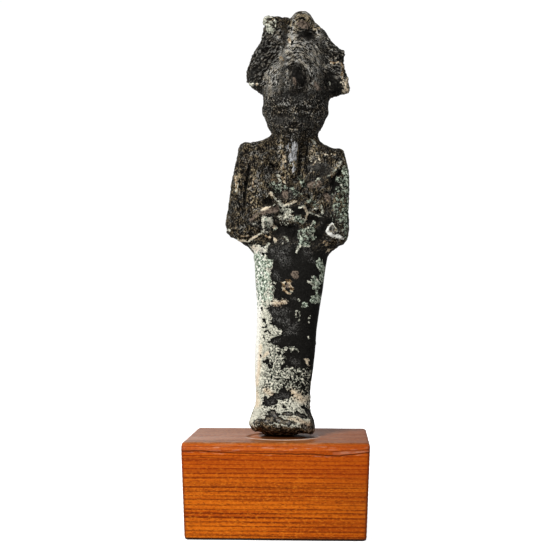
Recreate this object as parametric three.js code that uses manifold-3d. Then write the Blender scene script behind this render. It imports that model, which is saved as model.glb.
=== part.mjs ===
// A small cast bronze of a standing mummiform god, corroded and worn, on a sawn softwood block.
// Millimetres, +Z up, the front faces -Y. The origin is the centre of the block's underside.
import * as THREE from "three";
import { mergeVertices } from "three/addons/utils/BufferGeometryUtils.js";
import Module from "manifold-3d";

const wasm = await Module();
wasm.setup();

// Wooden block
const blockWidth = 48;
const blockDepth = 39;
const blockHeight = 24.5;
const endTaper = 1.0; // each sawn end leans in this much by the underside
const wornEdgeRadius = 2.4; // the handled top front edge
const edgeRadius = 0.8; // the other long edges
const endBevel = 0.7; // the arrises round the two sawn ends

// Bronze figure: its height, and the lean and place at which it stands on the block
const figureHeight = 115;
const leanDegrees = 3.4;
const standsRight = 0.8; // from the block's centre to the middle of the feet
const standsBack = 1.5;

// Everything from here to the block is in percent of the figure's height, with the figure upright:
// x runs across it from the middle of the feet, y is negative towards the front, z is the height.
const bodyPower = 2.3; // of the superellipse sections: 2 is an ellipse, and more is squarer
const headPower = 2.3;
const crownPower = 2.05;
const headMiddle = -1.3;
const handHeight = 51.9;
const crownFoot = 79.3; // where the crown meets the brow

// The feet, the wrapped legs, the chest and the neck, as level sections.
// Rows: height, half width, reach to the front, reach to the back, middle.
const bodyRows = [
  [-0.6, 3.6, 3.4, 2.6, -0.2],
  [0.6, 5.0, 5.6, 3.7, 0],
  [1.5, 7.1, 7.9, 4.7, 0],
  [2.5, 7.8, 8.9, 5.0, 0],
  [3.6, 7.5, 8.4, 5.0, 0],
  [5.0, 6.9, 6.9, 4.7, -0.1],
  [6.5, 6.35, 5.3, 4.4, -0.15],
  [8.5, 6.25, 4.3, 4.2, -0.15],
  [12, 6.5, 4.0, 4.2, -0.35],
  [16, 6.85, 4.0, 4.3, -0.35],
  [20, 7.0, 4.2, 4.4, -0.3],
  [25, 6.95, 4.5, 4.6, -0.2],
  [30, 7.3, 4.9, 4.8, -0.15],
  [35, 7.9, 5.2, 5.1, -0.2],
  [39, 8.25, 5.2, 5.3, -0.3],
  [42.2, 8.7, 5.0, 5.3, -0.4],
  [43.4, 9.7, 4.9, 5.2, -0.7],
  [44.6, 11.6, 4.8, 5.1, -1.0],
  [46, 13.3, 4.8, 5.1, -1.3],
  [48.5, 13.9, 4.8, 5.2, -1.6],
  [53, 13.7, 4.8, 5.4, -1.65],
  [58, 13.3, 4.8, 5.6, -1.5],
  [62, 13.0, 4.8, 5.7, -1.4],
  [65, 12.5, 4.6, 5.5, -1.5],
  [66.6, 12.0, 4.2, 5.0, -1.6],
  [67.6, 10.9, 3.9, 4.6, -1.7],
  [68.2, 9.2, 3.7, 4.3, -2.0],
  [68.8, 7.0, 3.6, 4.2, -1.5],
  [70.2, 5.5, 3.8, 4.1, -1.05],
  [71.6, 5.2, 4.0, 4.2, -1.1],
  [74, 5.2, 4.0, 4.4, -1.2],
];

// The head without its features, and the bulb of the crown. Rows as in the body.
const headRows = [
  [68.2, 2.4, 5.5, 2.0, headMiddle],
  [68.8, 3.7, 6.4, 3.2, headMiddle],
  [70.0, 4.8, 6.9, 4.2, headMiddle],
  [72.8, 6.6, 7.2, 5.3, headMiddle],
  [75, 7.35, 7.2, 5.9, headMiddle],
  [77, 7.6, 7.2, 6.2, headMiddle],
  [79, 7.75, 7.2, 6.3, headMiddle],
  [81, 7.6, 6.8, 6.2, headMiddle],
];
const crownRows = [
  [crownFoot - 0.5, 7.2, 6.8, 5.8, headMiddle],
  [crownFoot, 7.95, 7.45, 6.5, headMiddle],
  [crownFoot + 1.6, 7.85, 7.4, 6.45, headMiddle],
  [84, 6.95, 6.9, 6.0, headMiddle],
  [86.5, 5.7, 6.2, 5.3, -1.25],
  [89, 4.4, 5.1, 4.5, -1.2],
  [91.5, 3.25, 3.8, 3.6, -1.15],
  [93.6, 2.6, 2.9, 2.9, -1.1],
  [95, 2.7, 2.9, 2.8, -1.0],
  [96.4, 2.95, 3.3, 2.9, -0.9],
  [98, 2.75, 3.1, 2.7, -0.9],
  [99.3, 1.9, 2.1, 1.9, -0.9],
  [100, 0.9, 1.0, 0.9, -0.9],
];

// A closed surface on a sphere's grid: place(angle, share) gives the point for an angle that runs
// counter-clockwise seen from the far end, and a share from 0 at the near pole to 1 at the far pole.
function closedGrid(around, along, place) {
  const geometry = new THREE.SphereGeometry(1, around, along);
  const position = geometry.getAttribute("position");
  const uv = geometry.getAttribute("uv");
  for (let i = 0; i < position.count; i++) {
    const turn = Math.round(uv.getX(i) * around * 2) / 2;
    const ring = Math.round(uv.getY(i) * along);
    const atPole = ring === 0 || ring === along;
    const angle = (2 * Math.PI * (atPole ? 0 : turn % around)) / around;
    const point = place(angle, ring / along);
    position.setXYZ(i, point.x, point.y, point.z);
  }
  return geometry;
}

// A geometry as a solid, with its shared corners merged.
function solidOf(geometry) {
  const bare = geometry.clone();
  for (const name of Object.keys(bare.attributes)) {
    if (name !== "position") bare.deleteAttribute(name);
  }
  const merged = mergeVertices(bare, 1e-4);
  return new wasm.Manifold(
    new wasm.Mesh({
      numProp: 3,
      vertProperties: merged.attributes.position.array,
      triVerts: new Uint32Array(merged.index.array),
    }),
  );
}

// A solid back as a geometry.
function geometryOf(solid) {
  const mesh = solid.getMesh();
  const corners = new Float32Array(mesh.numVert * 3);
  for (let i = 0; i < mesh.numVert; i++) {
    for (let k = 0; k < 3; k++) corners[3 * i + k] = mesh.vertProperties[mesh.numProp * i + k];
  }
  const geometry = new THREE.BufferGeometry();
  geometry.setAttribute("position", new THREE.BufferAttribute(corners, 3));
  geometry.setIndex(new THREE.BufferAttribute(new Uint32Array(mesh.triVerts), 1));
  geometry.computeVertexNormals();
  return geometry;
}

const joined = (solids) => solids.reduce((whole, next) => whole.add(next));

// A smooth curve through rows: height to [half width, front, back, middle].
function sectionCurve(rows) {
  const heights = rows.map((row) => row[0]);
  const rest = rows.flatMap((row) => row.slice(1));
  const curve = new THREE.CubicInterpolant(heights, rest, 4, new Float64Array(4));
  return (height) => curve.evaluate(height);
}

// A solid of level sections with a ring at each row. The relief, if any, is how far the front
// stands out at x and z.
function stackedSections(rows, around, power, relief = () => 0) {
  const sections = sectionCurve(rows);
  const along = rows.length + 1;
  return solidOf(
    closedGrid(around, along, (angle, share) => {
      // The two poles close the first and last sections with a flat cap.
      const ring = THREE.MathUtils.clamp(Math.round(share * along) - 1, 0, rows.length - 1);
      const height = rows[ring][0];
      const [halfWidth, front, back, middle] = sections(height);
      if (share === 0 || share === 1) return new THREE.Vector3(middle, 0, height);
      const bend = (value) => Math.sign(value) * Math.abs(value) ** (2 / power);
      const x = middle - halfWidth * bend(Math.cos(angle));
      const deep = -bend(Math.sin(angle));
      const lift = relief(x, height) * Math.max(0, -deep);
      return new THREE.Vector3(x, deep * (deep < 0 ? front : back) - lift, height);
    }),
  );
}

// Where the front of such a solid lies at x and z.
function frontOf(rows, power) {
  const sections = sectionCurve(rows);
  return (x, z) => {
    const [halfWidth, front, , middle] = sections(z);
    const reach = Math.min(1, Math.abs(x - middle) / halfWidth);
    return -front * (1 - reach ** power) ** (1 / power);
  };
}

// Rows at every step of height, read off a few rows by a smooth curve.
function finerRows(rows, step) {
  const sections = sectionCurve(rows);
  const low = rows[0][0];
  const high = rows[rows.length - 1][0];
  const count = Math.round((high - low) / step);
  const finer = [];
  for (let i = 0; i <= count; i++) {
    const height = low + ((high - low) * i) / count;
    finer.push([height, ...sections(height)]);
  }
  return finer;
}

// A round-ended limb through stations of [x, y, z, half width, half depth].
function limb(stations, around = 10, along = 10) {
  const path = new THREE.CatmullRomCurve3(stations.map((s) => new THREE.Vector3(s[0], s[1], s[2])));
  const marks = stations.map((_, i) => i / (stations.length - 1));
  const sizes = new THREE.LinearInterpolant(
    marks,
    stations.flatMap((s) => s.slice(3)),
    2,
    new Float64Array(2),
  );
  const depthAxis = new THREE.Vector3(0, 1, 0);
  const endShare = 0.5 / (stations.length - 1);
  return solidOf(
    closedGrid(around, along, (angle, share) => {
      const reach = (1 - Math.cos(Math.PI * share)) / 2;
      const fromEnd = Math.min(reach, 1 - reach, endShare) / endShare;
      const fullness = Math.sqrt(Math.max(0, 1 - (1 - fromEnd) ** 2));
      const centre = path.getPoint(reach);
      const ahead = path.getTangent(THREE.MathUtils.clamp(reach, 0.001, 0.999));
      const side = depthAxis.clone().cross(ahead).normalize();
      const outward = ahead.clone().cross(side).normalize();
      const [wide, deep] = sizes.evaluate(reach);
      return centre
        .addScaledVector(side, -Math.cos(angle) * wide * fullness)
        .addScaledVector(outward, -Math.sin(angle) * deep * fullness);
    }),
  );
}

// A raised strand that lies on a surface, through [x, z] points.
function strand(points, surface, halfWidth, halfDepth, around, along) {
  return limb(
    points.map(([x, z]) => [x, surface(x, z), z, halfWidth, halfDepth]),
    around,
    along,
  );
}

// An ellipsoid at x, y, z, turned about the front-to-back axis.
function lump([x, y, z], [halfWidth, halfDepth, halfHeight], turnDegrees = 0, around = 10) {
  const geometry = closedGrid(around, around / 2 + 1, (angle, share) => {
    const rise = Math.PI * share;
    return new THREE.Vector3(
      -Math.cos(angle) * Math.sin(rise) * halfWidth,
      -Math.sin(angle) * Math.sin(rise) * halfDepth,
      -Math.cos(rise) * halfHeight,
    );
  });
  geometry.rotateY(THREE.MathUtils.degToRad(turnDegrees)).translate(x, y, z);
  return solidOf(geometry);
}

const chest = frontOf(bodyRows, bodyPower);
const crownFront = frontOf(crownRows, crownPower);

function wrappedBody() {
  const around = 32;
  return stackedSections(bodyRows, around, bodyPower);
}

// The crossed arms under the wrapping: upper arms at the sides, forearms rising to two fists.
function arms() {
  const upperArms = [
    limb([
      [-11.0, 0.1, 68.1, 2.9, 3.3],
      [-11.9, 0.1, 65.2, 2.5, 3.7],
      [-12.9, -0.1, 60.0, 2.3, 3.7],
      [-13.4, -0.2, 54.0, 2.3, 3.7],
      [-13.7, -0.3, 49.0, 2.5, 3.6],
      [-13.1, -0.4, 45.3, 2.4, 3.2],
    ]),
    limb([
      [7.9, 0.1, 67.6, 2.7, 3.2],
      [9.0, 0.1, 65.0, 2.4, 3.6],
      [10.2, -0.1, 60.5, 2.2, 3.6],
      [10.3, -0.2, 54.0, 2.2, 3.6],
      [10.7, -0.3, 49.0, 2.4, 3.5],
      [10.2, -0.4, 44.9, 2.3, 3.1],
    ]),
  ];
  const forearms = [
    limb([
      [-15.2, -0.9, 47.9, 2.5, 2.5],
      [-11.6, -2.5, 47.8, 3.1, 2.8],
      [-7.8, -3.6, 49.7, 2.8, 2.6],
      [-3.8, -4.4, 52.1, 2.1, 2.0],
    ]),
    limb([
      [12.2, -0.9, 47.4, 2.5, 2.5],
      [8.6, -2.5, 47.6, 3.1, 2.8],
      [4.4, -3.6, 49.5, 2.8, 2.6],
      [-0.1, -4.4, 51.9, 2.1, 2.0],
    ]),
  ];
  const fistSize = [2.5, 1.5, 1.7];
  const fistTurn = 24;
  const fists = [
    lump([-5.4, -5.5, handHeight + 0.2], fistSize, -fistTurn),
    lump([0.9, -5.5, handHeight], fistSize, fistTurn),
  ];
  return joined([...upperArms, ...forearms, ...fists]);
}

// The crook against one shoulder, with its hook turned in towards the beard, and the flail, whose
// handle crosses it at the waist and rises over the other shoulder to three lashes on the arm.
function regalia() {
  const crookPoints = [
    [-2.3, 48.7],
    [-4.9, 52.1],
    [-7.3, 56.6],
    [-8.5, 60.5],
    [-8.0, 63.8],
    [-6.2, 65.0],
    [-4.7, 63.9],
    [-4.9, 62.3],
  ];
  const handlePoints = [
    [-2.0, 48.5],
    [0.8, 52.1],
    [4.2, 56.5],
    [7.4, 60.4],
    [9.8, 63.3],
  ];
  const shaftHalfWidth = 0.9;
  const shaftHalfDepth = 1.0;
  const crook = strand(crookPoints, chest, shaftHalfWidth, shaftHalfDepth, 8, 22);
  const handle = strand(handlePoints, chest, shaftHalfWidth + 0.1, shaftHalfDepth, 8, 14);
  const lashes = [];
  const lashCount = 3;
  const lashSpacing = 1.25;
  const lashHalfDepth = 0.7;
  for (let i = 0; i < lashCount; i++) {
    const x = 9.0 + lashSpacing * i;
    const y = -3.5 + 0.55 * i;
    lashes.push(
      limb(
        [
          [x, y, 63.5, 0.65, lashHalfDepth],
          [x + 0.2, y - 0.1, 57.2, 0.75, lashHalfDepth],
          [x + 0.1, y, 49.7, 0.85, lashHalfDepth],
        ],
        8,
        7,
      ),
    );
  }
  return joined([crook, handle, ...lashes]);
}

// The long false beard, from the chin down to the breast.
function beard() {
  return limb([
    [headMiddle, -5.6, 70.1, 2.0, 2.3],
    [-1.2, -5.2, 67.0, 1.75, 2.2],
    [-1.0, -4.9, 63.2, 1.45, 1.7],
    [-0.8, -4.8, 59.3, 1.15, 1.3],
  ]);
}

// A soft mound of relief about a middle.
const mound = (x, z, [middleX, middleZ], [spreadX, spreadZ], height) =>
  height * Math.exp(-(((x - middleX) / spreadX) ** 2) - ((z - middleZ) / spreadZ) ** 2);

// A calm, worn face on plain proportions: the eyes halfway up, the nose to the next quarter.
function faceRelief(x, z) {
  const chinHeight = 69.4;
  const faceHeight = 11.2;
  const level = (share) => chinHeight + share * faceHeight;
  const side = Math.abs(x - headMiddle);
  const eyes = [2.6, level(0.5)];
  return (
    mound(side, z, [0, level(0.43)], [0.8, 1.8], 0.7) +
    mound(side, z, [0, level(0.33)], [1.05, 0.75], 0.65) +
    mound(side, z, eyes, [1.8, 1.4], -0.6) +
    mound(side, z, eyes, [1.15, 0.75], 0.5) +
    mound(side, z, [2.6, level(0.66)], [2.2, 0.8], 0.25) +
    mound(side, z, [3.2, level(0.28)], [1.8, 1.6], 0.3) +
    mound(side, z, [0, level(0.15)], [1.5, 0.7], 0.5) +
    mound(side, z, [0, level(0.0)], [1.8, 0.8], 0.4)
  );
}

function head() {
  const around = 38;
  const ringSpacing = 0.6;
  const skull = stackedSections(finerRows(headRows, ringSpacing), around, headPower, faceRelief);
  const earAside = 7.0;
  const earSize = [0.9, 1.5, 2.1];
  const ears = [-1, 1].map((side) => lump([headMiddle + side * earAside, -0.6, 76.3], earSize));
  return joined([skull, ...ears]);
}

// The bulb of the crown with its knob, and the cobra rearing over the brow inside its coil.
function crownBulb() {
  const around = 28;
  const bulb = stackedSections(crownRows, around, crownPower);
  const knobDent = lump([-0.8, -3.9, 95.8], [1.5, 1.2, 1.0]);
  const coil = strand(
    [
      [-5.2, 82.6],
      [-4.3, 85.0],
      [-1.1, 87.3],
      [1.9, 85.2],
      [2.8, 82.8],
    ],
    crownFront,
    0.85,
    0.75,
    8,
    12,
  );
  const hood = limb(
    [
      [79.6, 1.3],
      [81.4, 1.9],
      [83.6, 2.35],
      [86.1, 1.3],
    ].map(([z, halfWidth]) => [-1.1, crownFront(-1.1, z), z, halfWidth, 1.15]),
    10,
    9,
  );
  const cobraHead = lump([-1.1, crownFront(-1.1, 84.6) - 0.8, 84.6], [1.0, 0.9, 0.8]);
  return joined([bulb.subtract(knobDent), coil, hood, cobraHead]);
}

// One ostrich plume as a pillowed plate, from its outline of [x, z] points, counter-clockwise from
// the front, and the [x, z] of its thickest place.
function plume(outline, thickest) {
  const frontBulge = 1.7;
  const backBulge = 1.5;
  const fullness = 0.42; // below 1 the faces are flat and the rim is round
  const rim = new THREE.CatmullRomCurve3(
    outline.map(([x, z]) => new THREE.Vector3(x, 0, z)),
    true,
  );
  const heart = new THREE.Vector3(thickest[0], 0, thickest[1]);
  const around = 2 * outline.length;
  return solidOf(
    closedGrid(around, 8, (angle, share) => {
      const rise = Math.PI * share;
      const spread = Math.sin(rise) ** fullness;
      const point = heart.clone().lerp(rim.getPoint((angle / (2 * Math.PI)) % 1), spread);
      const towardsBack = Math.cos(rise);
      point.y = towardsBack * (towardsBack > 0 ? backBulge : frontBulge);
      return point;
    }),
  );
}

// The two plumes beside the bulb, broken and worn unequally, and the stubs of the ram's horns.
function crownSides() {
  const leftPlume = plume(
    [
      [-2.0, 98.0],
      [-5.5, 98.4],
      [-9.0, 98.5],
      [-10.2, 97.4],
      [-10.0, 95.8],
      [-10.2, 94.2],
      [-10.5, 92.2],
      [-11.8, 90.0],
      [-12.7, 87.6],
      [-13.4, 84.8],
      [-13.2, 82.5],
      [-11.4, 80.8],
      [-9.0, 79.5],
      [-5.5, 80.5],
      [-3.0, 84.0],
      [-1.5, 91.0],
    ],
    [-8.0, 89.0],
  );
  const rightPlume = plume(
    [
      [-1.0, 94.5],
      [-0.8, 90.0],
      [1.0, 84.0],
      [3.4, 80.4],
      [6.8, 79.6],
      [9.4, 80.6],
      [11.2, 81.3],
      [10.9, 83.4],
      [10.3, 85.6],
      [9.5, 88.0],
      [9.5, 89.9],
      [9.1, 91.1],
      [7.6, 92.0],
      [6.1, 93.5],
      [4.6, 95.6],
      [2.8, 97.0],
      [1.0, 97.9],
    ],
    [5.2, 88.0],
  );
  const hornHalfHeight = 1.0;
  const hornHalfDepth = 1.3;
  const hornTipShare = 0.75;
  const horns = [
    [[-6.5, -2.4, 81.4], [-10.0, -1.0, 82.0], [-12.9, -0.2, 82.9]],
    [[4.0, -2.4, 81.4], [7.4, -1.0, 81.7], [10.7, -0.2, 82.0]],
  ].map(([root, middle, tip]) =>
    limb(
      [
        [...root, hornHalfHeight, hornHalfDepth],
        [...middle, hornHalfHeight, hornHalfDepth],
        [...tip, hornHalfHeight * hornTipShare, hornHalfDepth * hornTipShare],
      ],
      8,
      8,
    ),
  );
  return joined([leftPlume, rightPlume, ...horns]);
}

// Old losses and hollows: a nick in the left plume's edge, one at the right shoulder, the pit by
// the crook, and the grooves that part the upper arms from the chest.
function losses() {
  const grooveHalfWidth = 0.4;
  const grooveHalfDepth = 0.7;
  const groove = (points) =>
    limb(points.map((point) => [...point, grooveHalfWidth, grooveHalfDepth]), 8, 8);
  return joined([
    lump([-10.6, -0.2, 96.1], [0.9, 2.6, 0.4], -25),
    lump([12.4, -0.6, 65.1], [1.3, 2.6, 0.55], 35),
    lump([-5.9, chest(-5.9, 62.1), 62.1], [0.75, 0.9, 1.0]),
    groove([
      [-11.0, -4.0, 63.6],
      [-11.4, -3.9, 57.2],
      [-12.0, -3.8, 50.8],
    ]),
    groove([
      [7.9, -4.0, 60.1],
      [8.6, -3.7, 56.7],
      [8.8, -3.8, 51.8],
    ]),
  ]);
}

function bronzeFigure() {
  const upright = joined([
    wrappedBody(),
    arms(),
    regalia(),
    beard(),
    head(),
    crownBulb(),
    crownSides(),
  ]).subtract(losses());
  const percent = figureHeight / 100;
  const geometry = geometryOf(upright);
  geometry.rotateY(THREE.MathUtils.degToRad(leanDegrees));
  geometry.scale(percent, percent, percent);

  // The rough underside is dressed flat, so that the feet rest on the block.
  const below = 20;
  const wide = figureHeight;
  const cutter = new THREE.BoxGeometry(wide, wide, below).translate(0, 0, -below / 2);
  const resting = solidOf(geometry).subtract(solidOf(cutter));
  const mesh = new THREE.Mesh(
    geometryOf(resting),
    new THREE.MeshStandardMaterial({ color: 0x2b2722, roughness: 0.62, metalness: 0.35 }),
  );
  mesh.name = "bronze_figure";
  mesh.position.set(standsRight, standsBack, blockHeight);
  return mesh;
}

// The block's end profile, from front to back and up, with the top front edge worn round.
function blockProfile() {
  const half = blockDepth / 2;
  const quarter = Math.PI / 2;
  const corners = [
    [half, 0, edgeRadius, -quarter],
    [half, blockHeight, edgeRadius, 0],
    [-half, blockHeight, wornEdgeRadius, quarter],
    [-half, 0, edgeRadius, 2 * quarter],
  ];
  const shape = new THREE.Shape();
  for (const [y, z, radius, from] of corners) {
    const centreY = y - Math.sign(y) * radius;
    const centreZ = z === 0 ? radius : z - radius;
    shape.absarc(centreY, centreZ, radius, from, from + quarter, false);
  }
  return shape;
}

function woodenBlock() {
  const shape = blockProfile();
  const geometry = new THREE.ExtrudeGeometry(shape, {
    depth: blockWidth - 2 * endBevel,
    steps: 1,
    bevelEnabled: true,
    bevelThickness: endBevel,
    bevelSize: endBevel,
    bevelOffset: -endBevel,
    bevelSegments: 2,
    curveSegments: 5,
  });
  // The profile was drawn in x and y and extruded along z: stand it up across the block.
  const position = geometry.getAttribute("position");
  for (let i = 0; i < position.count; i++) {
    const along = position.getZ(i) + endBevel - blockWidth / 2;
    const up = position.getY(i);
    const narrowing = 1 - ((2 * endTaper) / blockWidth) * (1 - up / blockHeight);
    position.setXYZ(i, along * narrowing, position.getX(i), up);
  }
  const mesh = new THREE.Mesh(
    geometryOf(solidOf(geometry)),
    new THREE.MeshStandardMaterial({ color: 0xb4551f, roughness: 0.5, metalness: 0 }),
  );
  mesh.name = "wooden_block";
  return mesh;
}

const figurine = new THREE.Group();
figurine.name = "osiris_figure_on_block";
figurine.add(woodenBlock(), bronzeFigure());
export default figurine;
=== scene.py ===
"""The looks of a small corroded bronze figure on its wooden block.

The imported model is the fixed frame. Both pieces start from its solids, get their fine relief and
their finishes here, and stay where the solids are. Relief is worked in millimetres; places on the
figure are in percent of its height, with the figure upright, as seen from the front: x runs across
from the middle of the feet, y is negative towards the front, z is the height."""

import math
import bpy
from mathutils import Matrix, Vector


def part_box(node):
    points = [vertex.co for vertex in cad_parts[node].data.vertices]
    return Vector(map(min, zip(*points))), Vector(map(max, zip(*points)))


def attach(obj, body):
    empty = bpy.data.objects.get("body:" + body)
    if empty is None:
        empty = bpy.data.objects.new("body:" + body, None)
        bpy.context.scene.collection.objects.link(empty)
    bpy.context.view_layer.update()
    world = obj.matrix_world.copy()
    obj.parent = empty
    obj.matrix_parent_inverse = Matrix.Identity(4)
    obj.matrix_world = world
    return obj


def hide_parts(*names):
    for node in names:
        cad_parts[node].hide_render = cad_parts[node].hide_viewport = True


bl_info = {
    "name": "Corroded bronze on a block",
    "version": (1, 0, 0),
    "blender": (4, 5, 0),
    "location": "3D View > Sidebar > Bronze",
    "description": "Relief, patina and wood for a small bronze figure on its block",
    "category": "Object",
}

import bmesh
import bpy
import numpy as np
from bpy.props import FloatProperty, FloatVectorProperty, IntProperty, PointerProperty
from bpy.types import Operator, Panel, PropertyGroup
from mathutils import Matrix, Vector, noise

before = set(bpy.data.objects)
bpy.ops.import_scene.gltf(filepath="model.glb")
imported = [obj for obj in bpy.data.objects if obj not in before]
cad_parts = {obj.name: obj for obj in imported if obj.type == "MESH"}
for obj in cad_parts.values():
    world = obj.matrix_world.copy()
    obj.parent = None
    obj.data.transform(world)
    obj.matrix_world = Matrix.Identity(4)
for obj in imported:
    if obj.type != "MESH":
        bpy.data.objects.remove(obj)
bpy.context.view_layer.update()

MM = 0.001
# Near enough nothing: a gap that is welded, or the length of a dot
TINY = 1e-6
BLOCK_LOW, BLOCK_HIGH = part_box("wooden_block")
BLOCK_TOP_MM = BLOCK_HIGH[2] / MM
BLOCK_FRONT_MM = BLOCK_LOW[1] / MM

# The figure's stance, as in the part's source
FIGURE_HEIGHT_MM = 115.0
LEAN = math.radians(3.4)
FOOT_MM = (0.8, 1.5, BLOCK_TOP_MM)
# Fit of the painted places to the figure: how far they are raised, in percent, and their scale
SIGHT_RISE = 0.73
SIGHT_SCALE = 0.995


class FigureSettings(PropertyGroup):
    """Relief and colours of the bronze."""

    grid: FloatProperty(
        name="Relief grid", description="Spacing of the relief's vertices, in millimetres", default=0.31
    )
    wear: IntProperty(name="Wear", description="Rounds of smoothing on the casting's edges", default=7)
    corrosion: FloatProperty(
        name="Corrosion", description="Depth of the corroded relief, in millimetres", default=0.27
    )
    crust_height: FloatProperty(
        name="Crust height", description="How far the pale crust stands out, in millimetres", default=0.22
    )
    dark: FloatVectorProperty(
        name="Dark patina", description="The near-black skin of the wrapped legs",
        subtype="COLOR", default=(0.0125, 0.0118, 0.0105),
    )
    hollow: FloatVectorProperty(
        name="Hollows", description="Crevices of the corroded parts",
        subtype="COLOR", default=(0.0022, 0.0018, 0.0014),
    )
    ridge: FloatVectorProperty(
        name="Ridges", description="Worn ridges of the corroded parts",
        subtype="COLOR", default=(0.36, 0.35, 0.32),
    )
    warm_ridge: FloatVectorProperty(
        name="Warm ridges", description="Worn ridges with a trace of earth",
        subtype="COLOR", default=(0.34, 0.275, 0.17),
    )
    crust: FloatVectorProperty(
        name="Crust", description="Pale cream mineral crust", subtype="COLOR", default=(0.72, 0.69, 0.57)
    )
    dull_crust: FloatVectorProperty(
        name="Dull crust", description="Greyer places in the crust",
        subtype="COLOR", default=(0.20, 0.21, 0.165),
    )
    green: FloatVectorProperty(
        name="Green crust", description="Pale copper-green crust",
        subtype="COLOR", default=(0.385, 0.425, 0.33),
    )
    deep_green: FloatVectorProperty(
        name="Deep green", description="Darker places in the green crust",
        subtype="COLOR", default=(0.012, 0.016, 0.011),
    )
    ochre: FloatVectorProperty(
        name="Ochre", description="Rust-coloured stains and earth",
        subtype="COLOR", default=(0.20, 0.125, 0.062),
    )
    rosy: FloatVectorProperty(
        name="Rosy patches", description="Dull pinkish-brown corrosion",
        subtype="COLOR", default=(0.20, 0.155, 0.12),
    )


class BlockSettings(PropertyGroup):
    """Relief and colours of the wood."""

    grid: FloatProperty(
        name="Relief grid", description="Spacing of the relief's vertices, in millimetres", default=0.34
    )
    wear: IntProperty(name="Wear", description="Rounds of smoothing on the block's edges", default=2)
    ring_spacing: FloatProperty(
        name="Growth rings", description="Spacing of the growth rings, in millimetres", default=1.12
    )
    early_wood: FloatVectorProperty(
        name="Early wood", description="The lighter bands", subtype="COLOR", default=(0.51, 0.107, 0.004)
    )
    reddish_wood: FloatVectorProperty(
        name="Reddish wood", description="Redder bands", subtype="COLOR", default=(0.38, 0.062, 0.002)
    )
    late_wood: FloatVectorProperty(
        name="Late wood", description="The darker lines", subtype="COLOR", default=(0.085, 0.010, 0.001)
    )


class StageSettings(PropertyGroup):
    """Camera and light."""

    distance: FloatProperty(
        name="Camera distance", description="From the block's front face", default=0.3, unit="LENGTH"
    )
    camera_height: FloatProperty(
        name="Camera height", description="Above the floor", default=0.0587, unit="LENGTH"
    )
    azimuth: FloatProperty(
        name="Azimuth", description="Camera's turn to the right", default=math.radians(2.8), unit="ROTATION"
    )
    pitch: FloatProperty(
        name="Pitch", description="Camera's tilt upwards", default=math.radians(1.58), unit="ROTATION"
    )
    lens: FloatProperty(name="Lens", description="Focal length in millimetres", default=77.6)


# Shader building

class Nodes:
    """A node tree with short ways to add and join nodes."""

    def __init__(self, tree):
        self.tree = tree

    def add(self, kind, settings=None, **inputs):
        """Adds a node. Keyword values set or link its inputs, named with underscores for spaces."""
        node = self.tree.nodes.new(kind)
        for key, value in (settings or {}).items():
            setattr(node, key, value)
        for key, value in inputs.items():
            self.feed(node.inputs[key.replace("_", " ")], value)
        return node

    def feed(self, socket, value):
        """Links a socket into another, or sets a plain value on it."""
        if isinstance(value, bpy.types.NodeSocket):
            self.tree.links.new(value, socket)
        else:
            socket.default_value = value

    def math(self, operation, first, second=0.0):
        node = self.add("ShaderNodeMath", {"operation": operation})
        self.feed(node.inputs[0], first)
        self.feed(node.inputs[1], second)
        return node.outputs[0]

    def plus(self, first, second):
        return self.math("ADD", first, second)

    def minus(self, first, second):
        return self.math("SUBTRACT", first, second)

    def times(self, first, second):
        return self.math("MULTIPLY", first, second)

    def apart(self, first, second):
        """How far two values lie apart."""
        return self.math("ABSOLUTE", self.minus(first, second))

    def ramp(self, value, low, high):
        """The value as a smooth share from low to high, kept between 0 and 1."""
        node = self.add("ShaderNodeMapRange", {"interpolation_type": "SMOOTHSTEP"}, Value=value)
        self.feed(node.inputs["From Min"], low)
        self.feed(node.inputs["From Max"], high)
        return node.outputs["Result"]

    def blend(self, share, first, second):
        node = self.add("ShaderNodeMix", {"data_type": "RGBA"}, Factor=share, A=first, B=second)
        return node.outputs["Result"]

    def coat(self, base, mask, share, colour):
        """The base with a colour over it, as far as the mask times the share."""
        return self.blend(self.times(mask, share), base, colour)

    def colours(self, value, *stops):
        """A colour ramp over stops of (place, colour)."""
        node = self.add("ShaderNodeValToRGB", Fac=value)
        ramp = node.color_ramp
        for index, (place, colour) in enumerate(stops):
            stop = ramp.elements[index] if index < 2 else ramp.elements.new(place)
            stop.position = place
            stop.color = colour
        return node.outputs["Color"]

    def noise(self, place, scale, detail=2.0, roughness=0.5):
        """Noise of 0 to 1. The scale is one over the size of its features, in metres."""
        node = self.add(
            "ShaderNodeTexNoise", Vector=place, Scale=scale, Detail=detail, Roughness=roughness
        )
        return node.outputs["Fac"]

    def masks(self, name):
        """The four masks that paint() stored on the vertices under a name."""
        stored = self.add("ShaderNodeAttribute", {"attribute_name": name}).outputs
        return (*self.add("ShaderNodeSeparateColor", Color=stored["Color"]).outputs, stored["Alpha"])


def new_material(name):
    """A material, its node tree and its shader."""
    material = bpy.data.materials.new(name)
    material.use_nodes = True
    return material, Nodes(material.node_tree), material.node_tree.nodes["Principled BSDF"]


def solid(colour):
    """A colour setting as a socket's value."""
    return (*colour, 1.0)


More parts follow.
